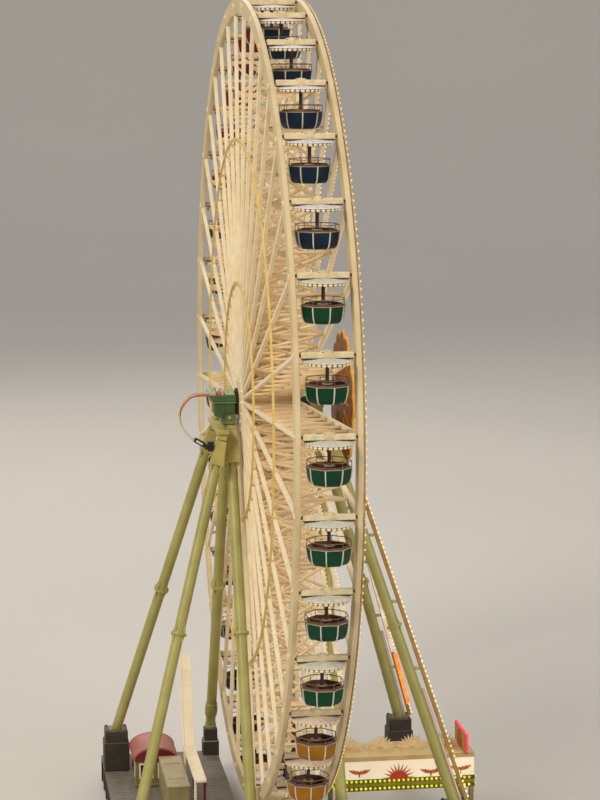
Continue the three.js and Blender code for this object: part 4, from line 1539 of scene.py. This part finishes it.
@dataclass
class Drive:
    """Gearbox on its neck, its two leads and their plug."""

    setting: Setting
    case: Box = ((-9, 20.8, 0.7), (9, 35.9, 5.2))
    sump: Profile = field(default_factory=lambda: [
        (21.4, 0.9), (34.7, 0.9), (34.7, -7.6), (29.2, -10.4), (28.4, -6.4), (21.4, -6.4),
    ])
    sump_half: float = 8.0
    flange: Box = ((-9.2, 20.7, 0.1), (9.2, 36.1, 0.9))
    neck: Box = ((-6, 20.9, -13.9), (6, 28.8, -5))
    neck_foot: Box = ((-6.4, 20.7, -13.9), (6.4, 29.2, -12.6))
    top_plates: tuple[Box, ...] = (
        ((-8.2, 21.6, 5.0), (8.2, 27.6, 6.4)),
        ((-8.2, 33.6, 5.0), (8.2, 37.4, 7.4)),
    )
    terminal_foot: float = 5.0
    terminal_columns: tuple[float, ...] = (-6.6, -2.2, 2.2, 6.6)
    terminal_rows: tuple[Span, ...] = ((22.9, 8.4), (26.2, 8.8), (29.4, 8.0), (36.2, 9.0))
    red_blocks: tuple[Box, ...] = (
        ((-7.6, 30.2, 5.0), (-3.8, 33.2, 7.3)),
        ((3.4, 30.2, 5.0), (7.2, 33.2, 7.3)),
    )
    lead: float = 0.6
    steps: int = 60
    spread: float = 0.85
    loop: Span = (45.5, -7.5)
    route: list[Place] = field(default_factory=lambda: [
        (-4, 36.5, 4), (-5, 42, 5.6), (-8, 50.5, 4.4), (-12, 56.8, -3.5), (-16, 56, -12.5),
        (-20, 51.8, -18.6), (-22, 48.6, -21),
    ])
    plug: tuple[Place, Place] = ((-22.5, 48.9, -19.9), (-22.5, 39.0, -26.0))
    plug_socket: Box = ((-24.6, 36.6, -27.6), (-20.4, 40.8, -21.4))

    def gearbox(self) -> None:
        """Make the stepped gearbox on its neck, with pale top plates and terminals."""
        shape = Shape().paint(Finish.GREEN)
        shape.block(*self.case, 0.6)
        half = self.sump_half
        shape.plate([Vector((-half, y, z)) for y, z in self.sump], X_WAY * (2 * half), 0.5)
        shape.paint(Finish.GREEN_MID)
        shape.block(*self.flange, 0.2)
        shape.block(*self.neck, 0.4)
        shape.block(*self.neck_foot, 0.3)
        shape.paint(Finish.GREEN_PALE)
        shape.rod((-7.0, 24.8, -9.5), (7.0, 24.8, -9.5), 0.9, 12)
        for low, high in self.top_plates:
            shape.block(low, high, 0.4)
        for x in self.terminal_columns:
            for y, z in self.terminal_rows:
                shape.rod((x, y, self.terminal_foot), (x, y, z), 1.0, 10, 0.8)
        shape.paint(Finish.LEAD_RED)
        for low, high in self.red_blocks:
            shape.block(low, high, 0.3)
        shape.rod((-4, 35.6, 4), (-4, 37.4, 4), 1.1, 12)
        shape.paint(Finish.WHITE)
        shape.rod((-2.2, 31.8, self.terminal_foot), (-2.2, 31.8, 8.6), 1.3, 12)
        shape.settle("gearbox_case", self.setting.at_hub, "frame", "dark_green", ("motor_gearbox",))

    def _course(self) -> list[Vector]:
        """Points of the leads' shared line, smoothly through the route.

        Returns:
            The points.
        """
        points = [Vector(point) for point in self.route]
        ends = [2 * points[0] - points[1], *points, 2 * points[-1] - points[-2]]
        line = []
        for i in range(self.steps + 1):
            place = i / self.steps * (len(points) - 1)
            k = min(int(place), len(points) - 2)
            t = place - k
            p0, p1, p2, p3 = ends[k:k + 4]
            line.append(0.5 * (2 * p1 + (p2 - p0) * t + (2 * p0 - 5 * p1 + 4 * p2 - p3) * t * t
                               + (3 * p1 - p0 - 3 * p2 + p3) * t * t * t))
        return line

    def leads(self) -> None:
        """Make the two leads, the red one inside the pale one's loop, and their plug."""
        line = self._course()
        middle = Vector((0, *self.loop))
        shape = Shape()
        for finish, way in ((Finish.LEAD_RED, -1), (Finish.LEAD_PALE, 1)):
            shape.paint(finish)
            beside = []
            for i, point in enumerate(line):
                away = point - middle
                away.x = 0
                share = i / len(line)
                parted = max(0.0, math.sin(math.pi * min(1.0, 1.7 * share))) ** 0.7
                cross = X_WAY * (0.62 * (1 - parted) * (1 if share < 0.3 else -1))
                beside.append(point + way * (away.normalized() * self.spread * parted + cross))
            shape.hose(beside, self.lead, 10)
        start, end = (Vector(corner) for corner in self.plug)
        shape.paint(Finish.BLACK)
        shape.bar(start, start.lerp(end, 0.62), 4.8, 2.9, X_WAY, 0.4)
        shape.bar(start.lerp(end, 0.6), end, 3.8, 2.4, X_WAY, 0.3)
        shape.bar(start.lerp(end, 0.7), start.lerp(end, 0.82), 5.2, 3.6, X_WAY, 0.3)
        shape.block(*self.plug_socket, 0.4)
        shape.paint(Finish.WHITE)
        shape.bar(start.lerp(end, 0.1), start.lerp(end, 0.5), 5.1, 1.2, X_WAY, 0.15)
        shape.settle("leads_and_plug", self.setting.at_hub, "frame", "black_lead", ("motor_leads",))

    def make(self) -> None:
        """Make the whole drive."""
        self.gearbox()
        self.leads()


@dataclass
class Base:
    """Platforms, the cross beam and the main legs' stepped foot blocks."""

    setting: Setting
    legs: Legs
    rear: Box = ((-123.0, 20.0, 0.0), (123.0, 100.75, 18.0))
    front: Box = ((-30.0, -137.0, 0.0), (30.0, -20.0, 5.0))
    board: float = 6.0
    joint: float = 0.15
    bay: float = 20.0
    stud: float = 1.8
    beam: float = 8.0
    beam_height: float = 7.0
    tier: float = 11.0
    tier_height: float = 28.0
    column: float = 9.0

    def _deck(self, shape: Shape, size: Box) -> None:
        """Add a deck of boards on a framed skirt to a shape.

        Args:
            shape: The shape to add to.
            size: Lowest and highest corner.
        """
        (x0, y0, _), (x1, y1, top) = size
        shape.paint(Finish.BLOCK)
        shape.block((x0 + 0.8, y0 + 0.8, 0), (x1 - 0.8, y1 - 0.8, top - 0.8), 0.2)
        shape.block((x0 + 0.1, y0 + 0.1, top - 2.2), (x1 - 0.1, y1 - 0.1, top - 0.9), 0.2)
        xs, ys = (x0 + 0.1, x1 - 0.1 - self.stud), (y0 + 0.1, y1 - 0.1 - self.stud)
        spots = [(x, y) for x in xs for y in self._spaced(*ys)]
        spots += [(x, y) for y in ys for x in self._spaced(*xs)]
        for x, y in spots:
            shape.block((x, y, 0), (x + self.stud, y + self.stud, top - 0.8))
        shape.paint(Finish.DECK)
        count = round((x1 - x0) / self.board)
        width = (x1 - x0) / count
        for i in range(count):
            x = x0 + i * width
            shape.block((x + self.joint, y0, top - 1), (x + width - self.joint, y1, top))

    def _spaced(self, start: float, end: float) -> list[float]:
        """Even steps from one place to another, about one bay apart."""
        count = max(1, round((end - start) / self.bay))
        return [start + (end - start) * i / count for i in range(count + 1)]

    def _blocks(self, shape: Shape, line: LegLine) -> None:
        """Add the stepped blocks under a pair of main legs to a shape.

        Args:
            shape: The shape to add to.
            line: Centre line of one of them.
        """
        foot = line.at(line.foot)
        top = self.setting.hub.z / MM - line.foot - 0.3
        tier, column = self.tier / 2, self.column / 2
        for sign in (-1, 1):
            x = sign * foot.x
            shape.paint(Finish.BLOCK)
            shape.block((x - tier, foot.y - tier, 0), (x + tier, foot.y + tier, self.tier_height), 0.4)
            shape.block((x - column, foot.y - column, self.tier_height - 1),
                        (x + column, foot.y + column, top), 0.4)
            shape.paint(Finish.BLOCK_EDGE)
            shape.block((x - tier, foot.y - tier, self.tier_height - 0.7),
                        (x + tier, foot.y + tier, self.tier_height + 0.1), 0.1)

    def make(self) -> None:
        """Make both decks with their blocks."""
        shape = Shape()
        self._deck(shape, self.rear)
        self._blocks(shape, self.legs.lines["rear_main"])
        shape.settle("base_rear_deck", self.setting.on_ground, "frame", "base_grey", ("base_rear",))
        shape = Shape()
        self._deck(shape, self.front)
        line = self.legs.lines["front_main"]
        foot = line.at(line.foot)
        reach, half = foot.x + self.tier / 2, self.beam / 2
        shape.paint(Finish.BLOCK)
        shape.block((-reach, foot.y - half, 0), (reach, foot.y + half, self.beam_height), 0.4)
        self._blocks(shape, line)
        shape.settle("base_front_deck", self.setting.on_ground, "frame", "base_grey", ("base_front",))


@dataclass
class Portal:
    """Entrance portal: fascias with ornament, lamp rows, posts, crests along the roof and a gable board."""

    setting: Setting
    half_width: float = 17.0
    front: float = -133.0
    back: float = -42.0
    top: float = 52.0
    cornice: float = 1.9
    band_top: float = 37.8
    bottom: float = 30.0
    post: float = 3.0
    deck: float = 5.3
    crest: float = 9.9
    crest_core: float = 6.3
    crest_rays: int = 13
    crests: tuple[float, ...] = (-116.0, -94.8, -73.6, -52.4)
    gable_y: Span = (-129.0, -127.2)
    gable_top: float = 64.2
    lamp: float = 0.95
    pitch: float = 3.1
    rows: Span = (36.6, 31.7)
    gable_lamp: float = 0.85
    gable_pitch: float = 1.5
    sun_rays: int = 11
    sun_foot: float = 5.0
    sun_tip: float = 10.6
    sun_disc: Span = (6.1, 5.2)
    side_sun: float = -83.1
    side_leaves: tuple[Span, ...] = ((-57.3, 42.7), (-104.4, 41.5), (-124.0, 42.7))
    leaf: Profile = field(default_factory=lambda: [
        (0.0, -1.2), (2.4, -1.3), (5.0, -0.4), (7.3, 1.9), (5.6, 1.7), (4.4, 1.4), (3.6, 1.9), (2.4, 0.9),
        (1.5, 1.3), (0.0, 0.5),
    ])
    relief: float = 0.45

    def _roof(self, shape: Shape) -> None:
        """Add the fascias, the sloped cornice and the band to a shape.

        Args:
            shape: The shape to add to.
        """
        w, y0, y1 = self.half_width, self.front, self.back
        shape.paint(Finish.FASCIA)
        shape.block((-w, y0, self.bottom + 0.5), (w, y1, self.top - 1.0), 0.3)
        low, high = self.top - self.cornice, self.top + 0.2
        shape.paint(Finish.GOLD_DEEP)
        edge = [(w + 0.4, low), (w + 0.4, low + 0.5), (w - 1.4, high), (1.4 - w, high), (-w - 0.4, low + 0.5),
                (-w - 0.4, low)]
        shape.plate([Vector((x, y0 - 0.3, z)) for x, z in edge], Y_WAY * (y1 - y0 + 0.6))
        shape.paint(Finish.GOLD)
        shape.block((-w + 1.6, y0 + 0.5, high - 0.3), (w - 1.6, y1 - 0.5, high + 0.25), 0.1)
        shape.paint(Finish.BAND)
        shape.block((-w - 0.3, y0 - 0.3, self.bottom - 0.1), (w + 0.3, y1 + 0.3, self.band_top), 0.3)
        shape.paint(Finish.BAND_DEEP)
        for z in self.rows:
            shape.block((-w - 0.5, y0 - 0.5, z - 1.25), (w + 0.5, y1 + 0.5, z + 1.25), 0.15)

    def _crest(self) -> Shape:
        """Fan of rays that stands in the plane x = 0 with its middle at z = 0.

        Returns:
            The shape.
        """
        shape = Shape().paint(Finish.GOLD)
        core = self.crest_core
        shape.turned([(0, -0.7), (core - 0.3, -0.7), (core, -0.4), (core, 0.4), (core - 0.3, 0.7), (0, 0.7)],
                     28, turning(Turning.X))
        shape.paint(Finish.CREST)
        for turn in half_circle(self.crest_rays - 1):
            way = Vector((0, math.cos(turn), math.sin(turn)))
            wide = Vector((0, -math.sin(turn), math.cos(turn)))
            outline = [way * 1.5 - wide * 0.3, way * 7.0 - wide * 0.72, way * self.crest,
                       way * 7.0 + wide * 0.72, way * 1.5 + wide * 0.3]
            shape.plate([point - X_WAY * 0.85 for point in outline], X_WAY * 1.7)
        return shape

    def _face_sun(self, shape: Shape, centre: Vector, out: Vector) -> None:
        """Add a flat half sun with long thin rays to a shape.

        Args:
            shape: The shape.
            centre: Middle of the half disc's straight edge.
            out: Way that the face looks.
        """
        along = out.cross(UP)
        shape.paint(Finish.RAY)
        for i in range(self.sun_rays):
            turn = math.radians(4 + 172 * i / (self.sun_rays - 1))
            way = along * math.cos(turn) + UP * math.sin(turn)
            wide = way.cross(out) * 0.75
            foot = centre + way * self.sun_foot
            shape.plate([foot - wide, foot + wide, centre + way * self.sun_tip], out * self.relief)
        shape.paint(Finish.EMBER)
        half, rise = self.sun_disc
        shape.plate([centre + along * (half * math.cos(turn)) + UP * (rise * math.sin(turn))
                     for turn in half_circle(18)], out * 0.7)

    def _side_ornament(self, shape: Shape, centre: Vector, out: Vector) -> None:
        """Add a small pair of leaves on a stem to a shape.

        Args:
            shape: The shape.
            centre: Its middle.
            out: Way that the face looks.
        """
        along = out.cross(UP)
        shape.paint(Finish.RAY)
        for sign in (-1, 1):
            outline = [centre + along * (sign * reach) + UP * height for reach, height in self.leaf]
            shape.plate(outline, out * self.relief)
        stem = centre + out * 0.15
        shape.rod(stem - UP * 3.4, stem - UP * 0.6, 0.4, 6, 0.8)
        shape.paint(Finish.EMBER)
        for reach in (-3.4, 0.0, 3.4):
            point = centre + along * reach + UP * (0.12 * abs(reach) - 0.3)
            shape.rod(point, point + out * 0.7, 0.8, 10, 0.6)

    def _gable(self, shape: Shape) -> None:
        """Add the board across the portal near its front end, with an inset field, to a shape.

        Args:
            shape: The shape to add to.
        """
        w = self.half_width
        (near, far), top = self.gable_y, self.gable_top
        shape.paint(Finish.BOARD)
        shape.block((-w, near, self.top - 0.3), (w, far, top), 0.15)
        shape.paint(Finish.GOLD_DEEP)
        shape.block((-w + 2.2, near - 0.3, self.top + 1.2), (w - 2.2, far + 0.3, top - 1.6), 0.15)
        for face, way in ((near - 0.2, -1), (far + 0.2, 1)):
            self._face_sun(shape, Vector((0, face, self.top + 1.4)), Vector((0, way, 0)))

    def _lamps(self) -> Shape:
        """Shape of the lime lamp rows on the band and the red ones on the gable's edges.

        Returns:
            The shape.
        """
        w, y0, y1 = self.half_width, self.front, self.back
        lamps = Shape().paint(Finish.BULB_LIME)
        for z in self.rows:
            for sign in (-1, 1):
                for i in range(int((y1 - y0) / self.pitch)):
                    lamps.ball((sign * (w + 0.7), y1 - 0.8 - i * self.pitch, z), self.lamp, 2)
                for i in range(int(2 * w / self.pitch)):
                    edge = y1 + 0.7 if sign > 0 else y0 - 0.7
                    lamps.ball((-w + 1.5 + i * self.pitch, edge, z), self.lamp, 2)
        (near, far), top = self.gable_y, self.gable_top
        middle = (near + far) / 2
        lamps.paint(Finish.BULB_RED)
        edge = [Vector((-w - 0.2, middle, self.top + 1.2)), Vector((-w - 0.2, middle, top + 0.2)),
                Vector((w, middle, top + 0.2))]
        for start, end in zip(edge, edge[1:]):
            count = round((end - start).length / self.gable_pitch)
            for i in range(count):
                lamps.ball(start.lerp(end, (i + 0.5) / count), self.gable_lamp, 2, (1.0, 1.15, 1.0))
        return lamps

    def make(self) -> None:
        """Make the portal and its lamps."""
        w, y0, y1 = self.half_width, self.front, self.back
        shape = Shape()
        self._roof(shape)
        shape.paint(Finish.KHAKI)
        for x in (-w, w - self.post):
            for y in (y0, y1 - self.post):
                shape.block((x, y, self.deck), (x + self.post, y + self.post, self.bottom + 0.5), 0.3)
        for sign in (-1, 1):
            out = Vector((sign, 0, 0))
            face = sign * (w - 0.1)
            self._face_sun(shape, Vector((face, self.side_sun, self.band_top - 0.2)), out)
            for y, z in self.side_leaves:
                self._side_ornament(shape, Vector((face, y, z)), out)
            out = Vector((0, sign, 0))
            face = (y1 if sign > 0 else y0) - 0.1 * sign
            self._face_sun(shape, Vector((0, face, self.band_top - 0.2)), out)
        crest = self._crest()
        for y in self.crests:
            shape.put(crest, Matrix.Translation((0, y, self.top)))
        self._gable(shape)
        shape.settle("portal_house", self.setting.on_ground, "frame", "cream_plastic", ("entrance_portal",))
        self._lamps().settle("portal_lamps", self.setting.on_ground, "frame", "sun_yellow")


@dataclass
class Huts:
    """Ticket booth with a flat barrel roof, the store box and the folded panel."""

    setting: Setting
    deck: float = 18.3
    booth_x: Span = (48.0, 79.0)
    booth_y: Span = (55.6, 82.6)
    wall_top: float = 36.7
    sill: float = 24.0
    hatch_sill: float = 20.5
    lintel: float = 34.5
    roof: Span = (15.2, 9.2)
    overhang: float = 2.0
    store_x: Span = (-20.0, 44.0)
    store_y: Span = (53.0, 67.3)
    store_top: float = 40.0
    battens: int = 8
    batten: float = 1.6
    panel_y: Span = (44.2, 51.7)
    panel_x: Span = (-38.0, 38.0)
    level: float = 48.3
    rise: Span = (62.0, 104.0)
    panel_slats: int = 5
    post: float = 1.6

    def _arch(self, x: float, inset: float) -> list[Vector]:
        """Flat arch of the booth's roof, square to its length.

        Args:
            x: Place along the booth.
            inset: Distance inside the roof's outer face.

        Returns:
            The arch's corners.
        """
        middle = sum(self.booth_y) / 2
        half, rise = (size - inset for size in self.roof)
        return [Vector((x, middle + half * math.cos(turn), self.wall_top + rise * math.sin(turn)))
                for turn in half_circle(24)]

    def booth(self) -> None:
        """Make the ticket booth."""
        (x0, x1), (y0, y1) = self.booth_x, self.booth_y
        shape = Shape().paint(Finish.WALL)
        shape.block((x0, y0, self.deck), (x1, y1, self.wall_top + 0.2), 0.4)
        shape.block((x0 - 0.5, y0 - 0.5, self.deck), (x1 + 0.5, y1 + 0.5, self.deck + 2), 0.3)
        sill, lintel = self.sill, self.lintel
        windows = [((x0 - 0.4, y0 + 2.5, sill), (x0 + 0.4, y0 + 12, lintel)),
                   ((x0 - 0.4, y1 - 12, sill), (x0 + 0.4, y1 - 2.5, lintel)),
                   ((x0 + 4, y1 - 0.4, sill), (x1 - 4, y1 + 0.4, lintel)),
                   ((x0 + 4, y0 - 0.4, sill), (x1 - 4, y0 + 0.4, lintel)),
                   ((x1 - 0.4, y0 + 8, self.hatch_sill), (x1 + 0.4, y1 - 8, lintel))]
        for low, high in windows:
            shape.paint(Finish.PANEL).block(low, high, 0.2)
            low, high = Vector(low), Vector(high)
            inset = Vector([0.9 if edge > 2 else -0.12 for edge in high - low])
            shape.paint(Finish.SHADOW).block(low + inset, high - inset)
        start, end = x0 - self.overhang, x1 + self.overhang
        shape.paint(Finish.ROOF_DEEP)
        shape.plate(self._arch(start + 0.7, 0.9), X_WAY * (end - start - 1.4))
        shape.paint(Finish.ROOF)
        shape.plate(self._arch(start, 0.0) + self._arch(start, 1.2)[::-1], X_WAY * (end - start))
        for x in (start - 0.1, end - 1.1):
            shape.plate(self._arch(x, -0.2) + self._arch(x, 1.0)[::-1], X_WAY * 1.2)
        shape.settle("booth_house", self.setting.on_ground, "frame", "roof_red", ("ticket_booth",))

    def store(self) -> None:
        """Make the store box with its lid and battens."""
        (x0, x1), (y0, y1), top = self.store_x, self.store_y, self.store_top
        shape = Shape().paint(Finish.KHAKI)
        shape.block((x0 + 0.4, y0 + 0.4, self.deck), (x1 - 0.4, y1 - 0.4, top - 0.4), 0.3)
        wide, low, high = self.batten, self.deck + 0.4, top - 0.8
        first, last = x0 + 0.2, x1 - 0.2 - wide
        for i in range(self.battens):
            x = first + (last - first) * i / (self.battens - 1)
            shape.block((x, y0, low), (x + wide, y1, high), 0.2)
        for y in (y0 + 0.2, (y0 + y1 - wide) / 2, y1 - 0.2 - wide):
            shape.block((x0, y, low), (x1, y + wide, high), 0.2)
        shape.paint(Finish.LID)
        shape.block((x0 - 0.3, y0 - 0.3, top - 1.2), (x1 + 0.3, y1 + 0.3, top + 0.3), 0.3)
        for x in (x0 + 14, x1 - 18):
            shape.block((x, y0 + 2, top), (x + 4, y1 - 2, top + 0.8), 0.2)
        shape.settle("store_case", self.setting.on_ground, "frame", "olive_plastic", ("store_box",))

    def panel(self) -> None:
        """Make the folded panel with its raised edges, red lip and posts."""
        (x0, x1), (y0, y1) = self.panel_x, self.panel_y
        middle, slats = (y0 + y1) / 2, self.panel_slats
        shape = Shape()
        level = (Vector((x0, middle, self.level)), Vector((x1 + 0.5, middle, self.level)))
        rising = (Vector((x1, middle, self.level - 0.5)), Vector((self.rise[0], middle, self.rise[1])))
        for start, end in (level, rising):
            shape.paint(Finish.PANEL)
            shape.bar(start, end, y1 - y0, 1.6, Y_WAY, 0.3)
            lift = (end - start).cross(Y_WAY).normalized()
            lift = lift if lift.z > 0 else -lift
            for edge in (-1, 1):
                offset = Y_WAY * (edge * ((y1 - y0) / 2 - 0.5)) + lift * 0.9
                shape.bar(start + offset, end + offset, 0.8, 0.8, Y_WAY)
            for i in range(slats):
                place = start.lerp(end, (i + 1) / (slats + 1))
                shape.bar(place - Y_WAY * 3, place + Y_WAY * 3, 0.8, 2.2, end - start)
        shape.paint(Finish.ROOF_DEEP)
        lip = self.level - 1.4
        shape.bar((x0 + 0.3, y0 + 0.4, lip), (x1 - 0.3, y0 + 0.4, lip), 0.9, 1.6, Y_WAY)
        for x in (x0 + 4, x1 - 4):
            for y in (y0, y1 - self.post):
                shape.paint(Finish.ROOF_DEEP if y == y0 else Finish.PANEL)
                shape.block((x, y, self.deck), (x + self.post, y + self.post, self.level), 0.2)
                shape.paint(Finish.PANEL)
                shape.block((x - 0.5, y - 0.1, self.deck),
                            (x + self.post + 0.5, y + self.post + 0.1, self.deck + 1.2), 0.2)
        shape.settle("panel_strip", self.setting.on_ground, "frame", "cream_plastic", ("folded_panel",))

    def make(self) -> None:
        """Make the booth, the store and the panel."""
        self.booth()
        self.store()
        self.panel()


@dataclass(frozen=True)
class SoftLight:
    """Soft square light: where it hangs and its side in metres, its power in watts and its colour."""

    name: str
    place: Place
    size: float
    power: float
    colour: Colour

    def make(self, target: Vector) -> None:
        """Make the light, aimed at a target.

        Args:
            target: Point that it is aimed at.
        """
        data = bpy.data.lights.new(self.name, "AREA")
        data.shape = "SQUARE"
        data.size, data.energy, data.color = self.size, self.power, self.colour
        light = bpy.data.objects.new(self.name, data)
        bpy.context.scene.collection.objects.link(light)
        light.location = self.place
        light.rotation_euler = (target - Vector(self.place)).to_track_quat("-Z", "Y").to_euler()


@dataclass
class Studio:
    """Camera, floor, sky and soft lights."""

    setting: Setting
    lights: tuple[SoftLight, ...] = (
        SoftLight("key", (-1.1, 1.2, 1.5), 0.7, 23.0, (1.0, 0.93, 0.82)),
        SoftLight("fill", (-1.5, -1.3, 0.9), 1.2, 13.0, (1.0, 0.95, 0.9)),
        SoftLight("back", (1.5, 0.2, 1.3), 1.0, 9.0, (1.0, 0.9, 0.78)),
    )
    aim_height: float = 0.26
    sky: Colour = (0.80, 0.79, 0.78)
    sky_strength: float = 0.62
    eye: Place = (-1488.6, 198.1, 239.8)
    yaw: float = -8.371
    pitch: float = -9.064
    lens: float = 107.92
    sensor: float = 36.0
    flat: float = 3.0
    bend: float = 1.5
    wall: float = 1.9

    def camera(self) -> None:
        """Make the camera at the photograph's place and angle."""
        data = bpy.data.cameras.new("camera")
        data.lens = self.lens
        data.sensor_width = self.sensor
        data.sensor_fit = "AUTO"
        data.clip_start, data.clip_end = 0.01, 50.0
        camera = bpy.data.objects.new("camera", data)
        bpy.context.scene.collection.objects.link(camera)
        yaw, pitch = math.radians(self.yaw), math.radians(self.pitch)
        look = Vector((math.cos(pitch) * math.cos(yaw), math.cos(pitch) * math.sin(yaw), math.sin(pitch)))
        camera.location = self.setting.hub + Vector(self.eye) * MM
        camera.rotation_euler = look.to_track_quat("-Z", "Y").to_euler()
        bpy.context.scene.camera = camera

    def backdrop(self) -> None:
        """Make the plain pale floor, which curves up into a wall all round."""
        curve = [(self.flat + self.bend * math.sin(turn / 2), self.bend * (1 - math.cos(turn / 2)))
                 for turn in half_circle(12)]
        profile = [(0.0, 0.0), *curve, (self.flat + self.bend, self.wall)]
        part = bmesh.new()
        ring = [part.verts.new((radius, 0.0, height)) for radius, height in profile]
        edges = [part.edges.new(pair) for pair in zip(ring, ring[1:])]
        bmesh.ops.spin(part, geom=ring + edges, cent=(0, 0, 0), axis=(0, 0, 1), dvec=(0, 0, 0),
                       angle=FULL_TURN, steps=96, use_merge=True, use_duplicate=False)
        bmesh.ops.remove_doubles(part, verts=part.verts, dist=1e-5)
        bmesh.ops.recalc_face_normals(part, faces=part.faces)
        if part.faces[0].normal.z < 0:
            bmesh.ops.reverse_faces(part, faces=part.faces)
        mesh = bpy.data.meshes.new("backdrop")
        part.to_mesh(mesh)
        part.free()
        mesh.shade_smooth()
        backdrop = bpy.data.objects.new("backdrop", mesh)
        bpy.context.scene.collection.objects.link(backdrop)
        floor = Plastic("floor_pale", srgb(214, 210, 204), srgb(208, 204, 198), roughness=0.9, patch=400,
                        dust_and_top_light=0.0, grain=0.0)
        mesh.materials.append(floor.material())

    def make(self) -> None:
        """Make the backdrop, the sky and the lights."""
        self.backdrop()
        for light in self.lights:
            light.make(Vector((0, self.setting.hub.y, self.aim_height)))
        world = bpy.data.worlds.new("studio")
        world.use_nodes = True
        background = world.node_tree.nodes["Background"]
        background.inputs["Color"].default_value = (*self.sky, 1.0)
        background.inputs["Strength"].default_value = self.sky_strength
        bpy.context.scene.world = world
        bpy.context.scene.view_settings.view_transform = "Standard"


def corners(box: tuple[Vector, Vector]) -> list[list[float]]:
    """Lowest and highest corner of a box as plain lists."""
    return [list(corner) for corner in box]


def main() -> None:
    """Load the frame and build the model's looks around it."""
    logging.basicConfig(level=logging.INFO, format="%(message)s")
    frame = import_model()
    setting = Setting.read(frame)
    studio = Studio(setting)
    studio.camera()
    wheel = Wheel(setting)
    legs = Legs(setting)
    for part in (wheel, WheelLights(setting, wheel), SunOrnament(setting), Cabins(setting), legs,
                 LightRails(setting, legs), Heads(setting), Drive(setting), Base(setting, legs),
                 Portal(setting), Huts(setting), studio):
        part.make()
        log.info("%s made", type(part).__name__)
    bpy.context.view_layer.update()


if __name__ == "__main__":
    main()
